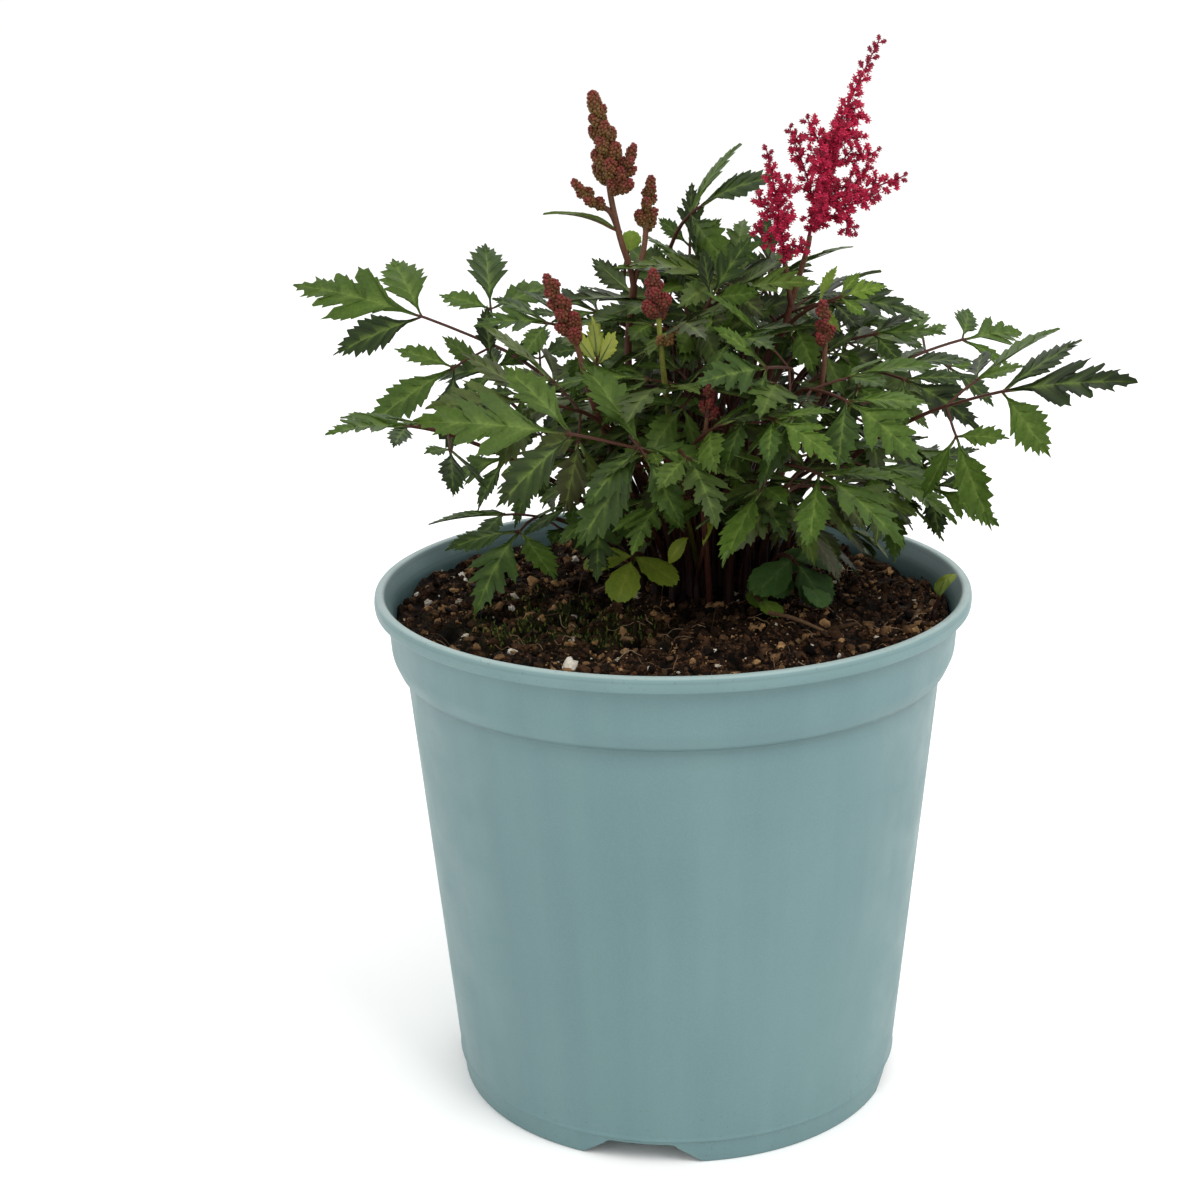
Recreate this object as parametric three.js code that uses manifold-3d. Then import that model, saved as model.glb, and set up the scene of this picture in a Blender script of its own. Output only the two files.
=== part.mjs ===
// A potted astilbe: a round nursery pot filled with compost, a crown of divided leaves with toothed
// leaflets, stalks that carry heads of closed buds, and one stalk that carries an open plume.
// Millimetres, +Z up, the origin at the middle of the pot's foot, the plant's showy side towards -Y.
import * as THREE from "three";
import { mergeVertices } from "three/addons/utils/BufferGeometryUtils.js";
import Module from "manifold-3d";

const wasm = await Module();
wasm.setup();
const { Manifold, Mesh: SolidMesh } = wasm;

// ---- driving dimensions ----
const GAP = 0.3; // between any two pieces that touch
const RAD = Math.PI / 180;

const POT_HEIGHT = 167.6;
const RIM_R = 95; // outside of the rolled lip
const LIP_HEIGHT = 4.8;
const COLLAR_DROP = 24.3; // from the rim down to the foot of the stacking collar
const COLLAR_R = 91;
const WALL_TOP_R = 85.7;
const WALL_FOOT_R = 73;
const FOOT_R = 71.8;
const FOOT_HEIGHT = 8.1; // the skirt below the floor, which the notches cut
const WALL = 1.7;
const POT_SIDES = 36;
const NOTCHES = 4;
const NOTCH_TURN = -99 * RAD; // one notch opens just left of the front
const NOTCH_FOOT_WIDTH = 42;
const NOTCH_TOP_WIDTH = 19;
const NOTCH_HEIGHT = 6.6;
const DRAIN_R = 5;
const DRAIN_CIRCLE_R = 48;

const SOIL_DROP = 9.5; // the compost's mean level below the rim
const SOIL_RINGS = 6;
const SOIL_SIDES = 32;
const PLANTING_DEPTH = 9; // how far each stalk stands in its hole

const CROWN = new THREE.Vector2(13, 25); // where the rootstock comes to the surface
const CROWN_R = 21;
const STALK_SPACING = 6.4;

const PETIOLE_R = [1.4, 0.85]; // at the soil and at the leaf
const RACHIS_R = 0.75;
const RIB_R = [0.45, 0.32]; // half the blade's thickness on the rib, from its base to its tip

// ---- chance that is the same on every run ----
function chance(n) {
  const v = Math.sin(n * 12.9898 + 78.233) * 43758.5453;
  return v - Math.floor(v);
}
const spread = (n, amount) => (chance(n) * 2 - 1) * amount;

// ---- solids ----
function solidOf(geometry) {
  const bare = new THREE.BufferGeometry();
  bare.setAttribute("position", geometry.getAttribute("position"));
  if (geometry.index) bare.setIndex(geometry.index);
  const merged = mergeVertices(bare, 1e-4);
  return new Manifold(
    new SolidMesh({
      numProp: 3,
      vertProperties: new Float32Array(merged.attributes.position.array),
      triVerts: new Uint32Array(merged.index.array),
    }),
  );
}

function geometryOf(solid) {
  const mesh = solid.getMesh();
  const position = new Float32Array(mesh.numVert * 3);
  for (let i = 0; i < mesh.numVert; i++)
    position.set(mesh.vertProperties.subarray(i * mesh.numProp, i * mesh.numProp + 3), i * 3);
  const geometry = new THREE.BufferGeometry();
  geometry.setAttribute("position", new THREE.BufferAttribute(position, 3));
  geometry.setIndex(new THREE.BufferAttribute(new Uint32Array(mesh.triVerts), 1));
  return geometry;
}

function geometryFrom(points, triangles) {
  const geometry = new THREE.BufferGeometry();
  const position = points.flatMap((p) => [p.x, p.y, p.z]);
  geometry.setAttribute("position", new THREE.Float32BufferAttribute(position, 3));
  geometry.setIndex(triangles.flat());
  return geometry;
}

// ---- pot ----
const COLLAR_FOOT = POT_HEIGHT - COLLAR_DROP;

// The wall's outer radius at a height between the floor and the collar.
const wallRadius = (z) =>
  WALL_FOOT_R + ((WALL_TOP_R - WALL_FOOT_R) * (z - FOOT_HEIGHT)) / (COLLAR_FOOT - FOOT_HEIGHT);

function potSolid() {
  const outside = [
    [FOOT_R - 0.6, 0],
    [FOOT_R, 0.8],
    [WALL_FOOT_R - 0.3, FOOT_HEIGHT - 0.4],
    [WALL_FOOT_R + 0.3, FOOT_HEIGHT + 0.3],
    [wallRadius(COLLAR_FOOT - 0.6), COLLAR_FOOT - 0.6],
    [COLLAR_R - 3.2, COLLAR_FOOT + 0.4],
    [COLLAR_R - 1.1, COLLAR_FOOT + 5],
    [COLLAR_R, POT_HEIGHT - LIP_HEIGHT - 0.8],
    [RIM_R - 0.4, POT_HEIGHT - LIP_HEIGHT],
    [RIM_R, POT_HEIGHT - LIP_HEIGHT + 1],
    [RIM_R - 0.4, POT_HEIGHT - 0.8],
    [RIM_R - 1.2, POT_HEIGHT],
  ];
  const inside = [
    [RIM_R - 2.9, POT_HEIGHT],
    [COLLAR_R - WALL, POT_HEIGHT - LIP_HEIGHT - 1],
    [COLLAR_R - 3, COLLAR_FOOT + 5],
    [wallRadius(COLLAR_FOOT) - WALL, COLLAR_FOOT - 1.5],
    [WALL_FOOT_R - WALL, FOOT_HEIGHT + WALL],
    [0, FOOT_HEIGHT + WALL],
    [0, FOOT_HEIGHT],
    [FOOT_R - 2.6, FOOT_HEIGHT],
    [FOOT_R - 3.2, 0],
  ];
  const profile = [...outside, ...inside, outside[0]].map(([r, z]) => new THREE.Vector2(r, z));
  const lathe = new THREE.LatheGeometry(profile, POT_SIDES);
  lathe.rotateX(Math.PI / 2);
  let pot = solidOf(lathe);
  for (let i = 0; i < NOTCHES; i++) {
    const turn = NOTCH_TURN + (i * 2 * Math.PI) / NOTCHES;
    pot = pot.subtract(notchCutter(turn)).subtract(drainCutter(turn + Math.PI / NOTCHES));
  }
  return pot;
}

// A trapezium that runs out through the skirt, so that water drains from under the floor.
function notchCutter(turn) {
  const shape = new THREE.Shape();
  shape.moveTo(-NOTCH_FOOT_WIDTH / 2, -1);
  shape.lineTo(NOTCH_FOOT_WIDTH / 2, -1);
  shape.lineTo(NOTCH_TOP_WIDTH / 2 + 1.5, NOTCH_HEIGHT - 0.8);
  shape.lineTo(NOTCH_TOP_WIDTH / 2, NOTCH_HEIGHT);
  shape.lineTo(-NOTCH_TOP_WIDTH / 2, NOTCH_HEIGHT);
  shape.lineTo(-NOTCH_TOP_WIDTH / 2 - 1.5, NOTCH_HEIGHT - 0.8);
  shape.closePath();
  const cutter = new THREE.ExtrudeGeometry(shape, { depth: 30, bevelEnabled: false });
  cutter.rotateX(Math.PI / 2); // the depth now runs along -Y
  cutter.translate(0, 18 - FOOT_R, 0);
  cutter.rotateZ(turn + Math.PI / 2);
  return solidOf(cutter);
}

function drainCutter(turn) {
  const drill = new THREE.CylinderGeometry(DRAIN_R, DRAIN_R, 8, 10);
  drill.rotateX(Math.PI / 2);
  const [x, y] = [DRAIN_CIRCLE_R * Math.cos(turn), DRAIN_CIRCLE_R * Math.sin(turn)];
  drill.translate(x, y, FOOT_HEIGHT + WALL / 2);
  return solidOf(drill);
}

// ---- compost ----
// Height of the compost's surface: heaped round the crown and in front of it, hollow to the left, lumpy.
function soilHeight(x, y) {
  const heap = 4 * Math.exp(-((x - CROWN.x) ** 2 + (y - CROWN.y) ** 2) / 900);
  const mound = 4 * Math.exp(-((x - 28) ** 2 + (y + 48) ** 2) / 800);
  const hollow = -4 * Math.exp(-((x + 16) ** 2 + (y + 26) ** 2) / 500);
  const bank = 3 * Math.exp(-((x + 66) ** 2 + (y - 26) ** 2) / 500);
  const lumps = 1.1 * Math.sin(x * 0.21 + 1.3) * Math.cos(y * 0.19 - 0.4);
  const ripples = 0.7 * Math.sin(x * 0.33 - y * 0.27);
  return POT_HEIGHT - SOIL_DROP + heap + mound + hollow + bank + lumps + ripples;
}

function soilSolid(feet) {
  const floor = FOOT_HEIGHT + WALL + GAP;
  const flat = Math.cos(Math.PI / POT_SIDES); // how much nearer the axis the middle of a flat is
  const edgeR = (COLLAR_R - 3) * flat - 0.5;
  const points = [new THREE.Vector3(0, 0, soilHeight(0, 0))];
  const rings = [];
  const ring = (radius, height) => {
    rings.push(points.length);
    for (let i = 0; i < SOIL_SIDES; i++) {
      const turn = ((i + (rings.length % 2) / 2) * 2 * Math.PI) / SOIL_SIDES;
      const [x, y] = [radius * Math.cos(turn), radius * Math.sin(turn)];
      points.push(new THREE.Vector3(x, y, height ?? soilHeight(x, y)));
    }
  };
  for (let k = 1; k <= SOIL_RINGS; k++) ring((edgeR * k) / SOIL_RINGS);
  ring(wallRadius(COLLAR_FOOT - 1.5) * flat - WALL - GAP - 0.5, COLLAR_FOOT - 2.5);
  ring((WALL_FOOT_R - WALL) * flat - GAP - 0.3, floor);
  points.push(new THREE.Vector3(0, 0, floor));
  const triangles = [];
  for (let i = 0; i < SOIL_SIDES; i++) {
    const j = (i + 1) % SOIL_SIDES;
    triangles.push([0, rings[0] + i, rings[0] + j]);
    triangles.push([points.length - 1, rings.at(-1) + j, rings.at(-1) + i]);
    for (let k = 0; k + 1 < rings.length; k++) {
      const [a, b] = [rings[k], rings[k + 1]];
      // Odd rings are turned by half a step, so the diagonals alternate.
      if (k % 2) triangles.push([a + i, b + i, b + j], [a + i, b + j, a + j]);
      else triangles.push([a + i, b + i, a + j], [a + j, b + i, b + j]);
    }
  }
  let soil = solidOf(geometryFrom(points, triangles));
  for (const { x, y, r } of feet) soil = soil.subtract(dibber(x, y, r + 1.3 * GAP));
  return soil;
}

// The plain hole that one stalk stands in.
function dibber(x, y, radius) {
  const depth = PLANTING_DEPTH + 2 * GAP;
  const hole = new THREE.CylinderGeometry(radius * Math.SQRT2, radius * Math.SQRT2, depth + 20, 4);
  hole.rotateX(Math.PI / 2);
  hole.translate(x, y, soilHeight(x, y) - depth + (depth + 20) / 2);
  return solidOf(hole);
}

// ---- tubes: stems, bud heads and plume branches ----
// Rings of points round a curve. radiusAt(ring, side) gives each point's distance from the curve.
function tubeGeometry(curve, rings, sides, radiusAt, extend = 0) {
  const points = [];
  const side = new THREE.Vector3(0.8, 0.5, 0.1);
  for (let k = 0; k <= rings; k++) {
    const along = curve.getTangentAt(k / rings);
    const at = curve.getPointAt(k / rings).addScaledVector(along, k === rings ? extend : 0);
    side.addScaledVector(along, -side.dot(along)).normalize();
    const across = new THREE.Vector3().crossVectors(along, side);
    for (let i = 0; i < sides; i++) {
      const turn = (i * 2 * Math.PI) / sides;
      const r = radiusAt(k, i);
      const point = at.clone().addScaledVector(side, r * Math.cos(turn));
      points.push(point.addScaledVector(across, r * Math.sin(turn)));
    }
  }
  points.push(curve.getPointAt(0), curve.getPointAt(1).addScaledVector(curve.getTangentAt(1), extend));
  const [foot, tip] = [points.length - 2, points.length - 1];
  const triangles = [];
  for (let i = 0; i < sides; i++) {
    const j = (i + 1) % sides;
    triangles.push([foot, j, i], [tip, rings * sides + i, rings * sides + j]);
    for (let k = 0; k < rings; k++) {
      const [a, b] = [k * sides, (k + 1) * sides];
      if ((i + k) % 2) triangles.push([a + i, a + j, b + j], [a + i, b + j, b + i]);
      else triangles.push([a + i, a + j, b + i], [a + j, b + j, b + i]);
    }
  }
  return geometryFrom(points, triangles);
}

const curveThrough = (points) => new THREE.CatmullRomCurve3(points.map((p) => new THREE.Vector3(...p)));

// A stem that narrows from its foot to its tip.
function stemSolid(points, footR, tipR, rings, sides, extend) {
  const radius = (k) => footR + ((tipR - footR) * k) / rings;
  return solidOf(tubeGeometry(curveThrough(points), rings, sides, radius, extend));
}

// A head of closed buds: every other point of the grid stands out as a bud.
function headSolid({ path, radius, rings }) {
  const swell = (t) => 0.55 + 0.45 * Math.sin(Math.PI * Math.min(1, 0.25 + t));
  const profile = (t) => radius * swell(t) * (1 - 0.6 * t ** 3);
  return solidOf(
    tubeGeometry(curveThrough(path), rings, 8, (k, i) => {
      const r = k === 0 ? radius * 0.3 : profile(k / rings) * (k === rings ? 0.5 : 1);
      return r * ((i + k) % 2 ? 0.86 : 1.12);
    }),
  );
}

// ---- leaves ----
// A leaf is one closed skin. Every rib has a top and a bottom point at each station, and the outline on
// either side of it is shared by the upper and the lower face, which are split into triangles alike.
class Skin {
  points = [];
  triangles = [];

  add(point) {
    return this.points.push(point) - 1;
  }

  // The triangles between a rib and the outline on its left, or on its right, on both faces.
  strip(rib, outline, isRight) {
    for (const face of ["top", "bottom"]) {
      const flip = isRight !== (face === "bottom");
      let [i, j] = [0, 0];
      while (i + 1 < rib.length || j + 1 < outline.length) {
        const onRib = j + 1 >= outline.length || (i + 1 < rib.length && rib[i + 1].s <= outline[j + 1].s);
        const before = onRib ? rib[i][face] : outline[j].at;
        const next = onRib ? rib[++i][face] : outline[++j].at;
        const across = onRib ? outline[j].at : rib[i][face];
        const corners = onRib ? [before, next, across] : [across, next, before];
        this.triangles.push(flip ? corners.reverse() : corners);
      }
    }
  }
}

// Leaflets: the edge on either side, as distances along the leaflet and out from its rib, and where the rib
// has its stations, all as parts of the leaflet's length.
const LOBED = {
  edge: [[0.28, 0.06], [0.52, 0.22], [0.46, 0.085], [0.71, 0.15], [0.66, 0.065], [0.86, 0.08]],
  rib: [0.2, 0.46, 0.7],
};
const TOOTHED = { edge: [[0.5, 0.2], [0.47, 0.13], [0.76, 0.15], [0.72, 0.08]], rib: [0.24, 0.52] };
const SMALL = { edge: [[0.54, 0.22], [0.5, 0.13]], rib: [0.4] };
const ROUND = { edge: [[0.3, 0.13], [0.5, 0.29], [0.76, 0.28], [0.93, 0.15]], rib: [0.24, 0.52] };
const FAN = { edge: [[0.35, 0.13], [0.62, 0.2], [0.85, 0.12]], rib: [0.24, 0.52] };
const NARROW = { edge: [[0.3, 0.09], [0.65, 0.08]], rib: [0.24, 0.52] };

// Adds one limb to a skin: a stalk with pairs of side limbs, then its own leaflet. `rib`, `left` and `right`
// are the stations so far, which the limb goes on from.
function growLimb(skin, place, limb, rib, left, right) {
  const forward = new THREE.Vector2(Math.cos(limb.heading), Math.sin(limb.heading));
  const side = new THREE.Vector2(-forward.y, forward.x);
  const flat = (s, w) => limb.root.clone().addScaledVector(forward, s).addScaledVector(side, w);
  const height = (s, w) => limb.height + limb.lift * s + limb.fold * Math.abs(w) + limb.twist * w;
  const vertex = (s, w, up = 0) => skin.add(place(flat(s, w), height(s, w) + up));
  const station = (s, thick) => ({ s, top: vertex(s, 0, thick), bottom: vertex(s, 0, -thick) });

  for (const pair of limb.pairs) {
    const node = station(pair.at, RACHIS_R);
    const root = flat(pair.at, 0);
    const reach = RACHIS_R / Math.sin(pair.turn);
    const branch = (hand) => {
      const heading = limb.heading + hand * pair.turn;
      const out = new THREE.Vector2(Math.cos(heading), Math.sin(heading));
      const axil = (way) => {
        const corner = root.clone().addScaledVector(out, reach).addScaledVector(forward, way * reach);
        return skin.add(place(corner, height(pair.at, 0)));
      };
      return { heading, before: axil(-1), after: axil(1) };
    };
    const [l, r] = [branch(1), branch(-1)];
    rib.push(node);
    left.push({ s: pair.at, at: l.before });
    right.push({ s: pair.at, at: r.before });
    skin.strip(rib, left, false);
    skin.strip(rib, right, true);
    const from = (at) => [{ s: 0, at }];
    const base = { root, height: height(pair.at, 0) };
    const toLeft = { ...base, ...pair.left, heading: l.heading };
    const toRight = { ...base, ...pair.right, heading: r.heading };
    growLimb(skin, place, toLeft, [{ ...node, s: 0 }], from(l.before), from(l.after));
    growLimb(skin, place, toRight, [{ ...node, s: 0 }], from(r.after), from(r.before));
    rib = [node];
    left = [{ s: pair.at, at: l.after }];
    right = [{ s: pair.at, at: r.after }];
  }

  for (const [s, w] of limb.outline.edge) {
    const along = limb.stalk + Math.max(s * limb.length, 2 * RACHIS_R);
    left.push({ s: along, at: vertex(along, w * limb.length * limb.width) });
    right.push({ s: along, at: vertex(along, -w * limb.length * limb.width) });
  }
  const tip = { s: limb.stalk + limb.length, at: vertex(limb.stalk + limb.length, 0) };
  left.push(tip);
  right.push(tip);
  for (const t of limb.outline.rib)
    rib.push(station(limb.stalk + t * limb.length, RIB_R[0] + (RIB_R[1] - RIB_R[0]) * t));
  skin.strip(rib, left, false);
  skin.strip(rib, right, true);
}

// The limbs of a leaf twice divided in threes, `size` long from its hub to its tip. `seed` varies them. A
// sprig is a younger leaf, whose lower pair isn't divided again.
function frondLimbs(size, seed, isSprig = false) {
  let draw = seed;
  const limb = (stalk, length, outline, pairs = [], lift = 0) => ({
    stalk,
    length: length * (1 + spread(draw++, 0.08)),
    width: 1 + spread(draw++, 0.12),
    lift: lift + spread(draw++, 0.12),
    fold: 0.1 + spread(draw++, 0.12),
    twist: spread(draw++, 0.16),
    outline,
    pairs,
  });
  const pair = (at, turn, left, right) => ({ at, turn: (turn + spread(draw++, 3)) * RAD, left, right });
  const leaflet = (length, outline) => limb(0, length * size, outline, [], -0.1);
  const group = (left, right) => {
    const at = 0.2 * size;
    const small = pair(at, 54, leaflet(left, SMALL), leaflet(right, SMALL));
    return limb(at, 0.44 * size, TOOTHED, [small], -0.1);
  };
  const end = 0.34 * size;
  const upper = pair(end, 46, leaflet(0.4, TOOTHED), leaflet(0.4, TOOTHED));
  const [outer, inner] = [0.3, 0.22];
  const lower = isSprig
    ? pair(0, 62, leaflet(0.5, TOOTHED), leaflet(0.5, TOOTHED))
    : pair(0, 62, group(outer, inner), group(inner, outer));
  return { ...limb(end, size - end, LOBED, [lower, upper]), lift: 0 };
}

// A leaf of three equal leaflets.
function trefoilLimbs(size, seed, outline, turn) {
  const leaflet = (n, length) => ({
    stalk: 0, length, width: 1, lift: 0, fold: 0.06, twist: spread(seed + n, 0.15), outline, pairs: [],
  });
  const sides = { at: 0, turn: turn * RAD, left: leaflet(1, size * 0.9), right: leaflet(2, size * 0.9) };
  return { ...leaflet(0, size * 0.88), stalk: 0.12 * size, pairs: [sides] };
}

const LEAF_KINDS = {
  full: (size, seed) => frondLimbs(size, seed),
  sprig: (size, seed) => frondLimbs(size, seed, true),
  simple: (size, seed) => trefoilLimbs(size, seed, TOOTHED, 62),
  round: (size, seed) => trefoilLimbs(size, seed, ROUND, 74),
  yellow: (size, seed) => trefoilLimbs(size, seed, ROUND, 74),
  young: (size, seed) => trefoilLimbs(size, seed, FAN, 34),
};

// Where a flat leaf's points go: an arch from the hub to the tip, rolled about the line between them, with
// both sides sagging.
function archPlace(hub, tip, rollDegrees, droopDegrees, sag = 0.25) {
  const chord = tip.clone().sub(hub);
  const droop = droopDegrees * RAD;
  const size = (chord.length() * droop) / 2 / Math.sin(droop / 2);
  chord.normalize();
  const level = new THREE.Vector3(-chord.y, chord.x, 0).normalize();
  const upright = new THREE.Vector3().crossVectors(chord, level);
  const roll = rollDegrees * RAD;
  const turned = (from, towards, angle) =>
    from.clone().multiplyScalar(Math.cos(angle)).addScaledVector(towards, Math.sin(angle));
  const lateral = turned(level, upright, roll);
  const up = turned(upright, level, -roll);
  const forward = turned(chord, up, droop / 2);
  const normal = turned(up, chord, -droop / 2);
  const radius = size / droop;
  const place = ({ x, y }, height) => {
    const turn = Math.max(x, 0) / radius;
    const h = height - (sag * y * y) / size;
    return hub
      .clone()
      .addScaledVector(forward, radius * Math.sin(turn) + Math.min(x, 0) + h * Math.sin(turn))
      .addScaledVector(normal, radius * (Math.cos(turn) - 1) + h * Math.cos(turn))
      .addScaledVector(lateral, y);
  };
  return { size, place, forward, lateral };
}

const PETIOLE_STATIONS = 4;
const COLLAR_RISE = 3; // a petiole stays upright to this far above the compost

// A leaf on its petiole, which stands in the compost at `foot` and curves out to the hub.
function leafGeometry({ foot, hub, tip, roll, droop, seed, kind = "full", petiole = PETIOLE_R }) {
  const { size, place, forward, lateral } = archPlace(hub, tip, roll, droop);
  const ground = new THREE.Vector3(foot.x, foot.y, soilHeight(foot.x, foot.y));
  const rise = hub.clone().sub(ground);
  const collar = ground.clone().add(new THREE.Vector3(0, 0, COLLAR_RISE));
  const curve = new THREE.CubicBezierCurve3(
    collar,
    collar.clone().add(new THREE.Vector3(0, 0, Math.max(0.4 * rise.z, 0.2 * rise.length()))),
    hub.clone().addScaledVector(forward, -0.3 * rise.length()),
    hub,
  );
  const skin = new Skin();
  const [rib, left, right] = [[], [], []];
  const ring = (s, at, along, r) => {
    const side = lateral.clone().addScaledVector(along, -lateral.dot(along)).normalize();
    const up = new THREE.Vector3().crossVectors(along, side);
    const point = (axis, distance) => skin.add(at.clone().addScaledVector(axis, distance));
    rib.push({ s, top: point(up, r), bottom: point(up, -r) });
    left.push({ s, at: point(side, r) });
    right.push({ s, at: point(side, -r) });
  };
  const buried = ground.clone().add(new THREE.Vector3(0, 0, -PLANTING_DEPTH));
  ring(-PETIOLE_STATIONS - 1, buried, new THREE.Vector3(0, 0, 1), petiole[0]);
  for (let k = 0; k < PETIOLE_STATIONS; k++) {
    const t = k / PETIOLE_STATIONS;
    const r = petiole[0] + (petiole[1] - petiole[0]) * t;
    ring(k - PETIOLE_STATIONS, curve.getPoint(t), curve.getTangent(t), r);
  }
  skin.triangles.push([rib[0].top, left[0].at, rib[0].bottom], [rib[0].top, rib[0].bottom, right[0].at]);
  const whole = { ...LEAF_KINDS[kind](size, seed), root: new THREE.Vector2(0, 0), heading: 0, height: 0 };
  growLimb(skin, place, whole, rib, left, right);
  return geometryFrom(skin.points, skin.triangles);
}

// A narrow leaf that grows from a stem at `root`.
function bractGeometry({ root, tip, roll, droop }) {
  const { size, place } = archPlace(root, tip, roll, droop);
  const skin = new Skin();
  const point = (y, up) => skin.add(place({ x: 0, y }, up));
  const [top, bottom] = [point(0, RACHIS_R), point(0, -RACHIS_R)];
  const [l, r] = [point(RACHIS_R, 0), point(-RACHIS_R, 0)];
  skin.triangles.push([top, l, bottom], [top, bottom, r]);
  const form = { width: 1, lift: 0, fold: 0.2, twist: 0, outline: NARROW };
  const blade = { ...form, stalk: 0, length: size, pairs: [] };
  const whole = { ...blade, root: new THREE.Vector2(0, 0), heading: 0, height: 0 };
  growLimb(skin, place, whole, [{ s: 0, top, bottom }], [{ s: 0, at: l }], [{ s: 0, at: r }]);
  return geometryFrom(skin.points, skin.triangles);
}

// ---- what stands on the crown ----
// Leaves: the hub where a leaf divides, its tip, its roll about the line between them (positive lifts its
// left side) and its droop from hub to tip, in degrees.
const LEAVES = [
  { name: "left_high", hub: [-58, 45, 236], tip: [-129.5, 72, 255], roll: -38, droop: 20 },
  { name: "right_far", hub: [82, -30, 230], tip: [129.5, -68, 246], roll: 40, droop: 20 },
  { name: "top", kind: "simple", hub: [7, 30, 280], tip: [35, 16, 294], roll: 42, droop: 40 },
  { name: "left_low", hub: [-70, 2, 216], tip: [-105, -30, 225], roll: -14, droop: 25 },
  { name: "left_front", hub: [-27, -22, 228], tip: [-72, -58, 238], roll: -45, droop: 35 },
  { name: "front_mid", hub: [-4, -34, 224], tip: [6, -74, 212], roll: 0, droop: 50 },
  { name: "right_high", hub: [83, 35, 234], tip: [119, 60, 236], roll: 38, droop: 25 },
  { name: "right_low", hub: [72, 8, 199], tip: [102, -16, 189], roll: 38, droop: 40 },
  { name: "centre", hub: [36, -20, 240], tip: [6, -60, 244], roll: -60, droop: 40 },
  { name: "centre_tall", hub: [8, 0, 244], tip: [26, -8, 276], roll: 80, droop: 30 },
  { name: "right_mid", hub: [42, -32, 236], tip: [72, -74, 222], roll: 25, droop: 50 },
  { name: "centre_front", kind: "sprig", hub: [18, -40, 230], tip: [40, -74, 224], roll: 25, droop: 50 },
  { name: "right_front", hub: [32, -34, 218], tip: [66, -80, 205], roll: 15, droop: 50 },
  { name: "front_low", hub: [24, -20, 208], tip: [40, -60, 202], roll: 10, droop: 40 },
  { name: "low_left", hub: [-42, -2, 190], tip: [-58, -50, 176], roll: -10, droop: 50 },
  { name: "low_mid", hub: [-24, -2, 194], tip: [-27, -42, 179], roll: 0, droop: 45 },
  { name: "right_dark", hub: [60, 2, 230], tip: [90, -36, 218], roll: 25, droop: 45 },
  { name: "right_behind", hub: [58, 44, 236], tip: [90, 72, 234], roll: 25, droop: 35 },
  { name: "left_middle", hub: [-42, 26, 224], tip: [-82, 46, 220], roll: -35, droop: 35 },
  { name: "left_under", hub: [-38, 14, 200], tip: [-76, 26, 184], roll: -35, droop: 40 },
  { name: "right_second", hub: [46, -8, 208], tip: [82, -44, 196], roll: 20, droop: 50 },
  { name: "centre_high", hub: [32, 8, 250], tip: [62, -24, 252], roll: 20, droop: 50 },
  { name: "left_inner", hub: [-28, 20, 244], tip: [-62, -4, 252], roll: -35, droop: 40 },
  { name: "inner_left", hub: [-14, 26, 204], tip: [-24, 44, 238], roll: 0, droop: 30 },
  { name: "inner_back", hub: [16, 42, 206], tip: [14, 62, 240], roll: 0, droop: 30 },
  { name: "inner_right", hub: [40, 36, 202], tip: [56, 54, 232], roll: 0, droop: 30 },
  {
    name: "fresh", colour: "fresh", kind: "sprig",
    hub: [49, 3, 256], tip: [70, -2, 263], roll: 62, droop: 30,
  },
  { name: "left_back", kind: "sprig", hub: [-9, 40, 250], tip: [-40, 58, 262], roll: -25, droop: 30 },
  { name: "top_mid", kind: "sprig", hub: [8, 34, 258], tip: [10, 42, 290], roll: 0, droop: 30 },
  { name: "top_behind", kind: "sprig", hub: [33, 40, 250], tip: [32, 58, 276], roll: 0, droop: 30 },
  { name: "right_inner", kind: "sprig", hub: [54, 10, 242], tip: [84, -6, 248], roll: 35, droop: 30 },
  { name: "back_left", hub: [-38, 52, 214], tip: [-74, 78, 206], roll: -10, droop: 40 },
  { name: "back_low", hub: [-6, 58, 202], tip: [-18, 93, 186], roll: 0, droop: 40 },
  { name: "back_mid", hub: [24, 60, 228], tip: [36, 93, 218], roll: 0, droop: 40 },
  { name: "back_right", hub: [60, 46, 198], tip: [94, 66, 190], roll: 10, droop: 40 },
];

const SMALL_LEAVES = [
  { kind: "young", hub: [-22, -12, 240], tip: [-23, -14, 256], roll: 0, droop: 20 },
  { kind: "round", hub: [38, -9, 177], tip: [48, -21, 165], roll: 10, droop: 25 },
  { kind: "yellow", hub: [-12, -4, 177], tip: [-17, -17, 166], roll: -10, droop: 35 },
];

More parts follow.
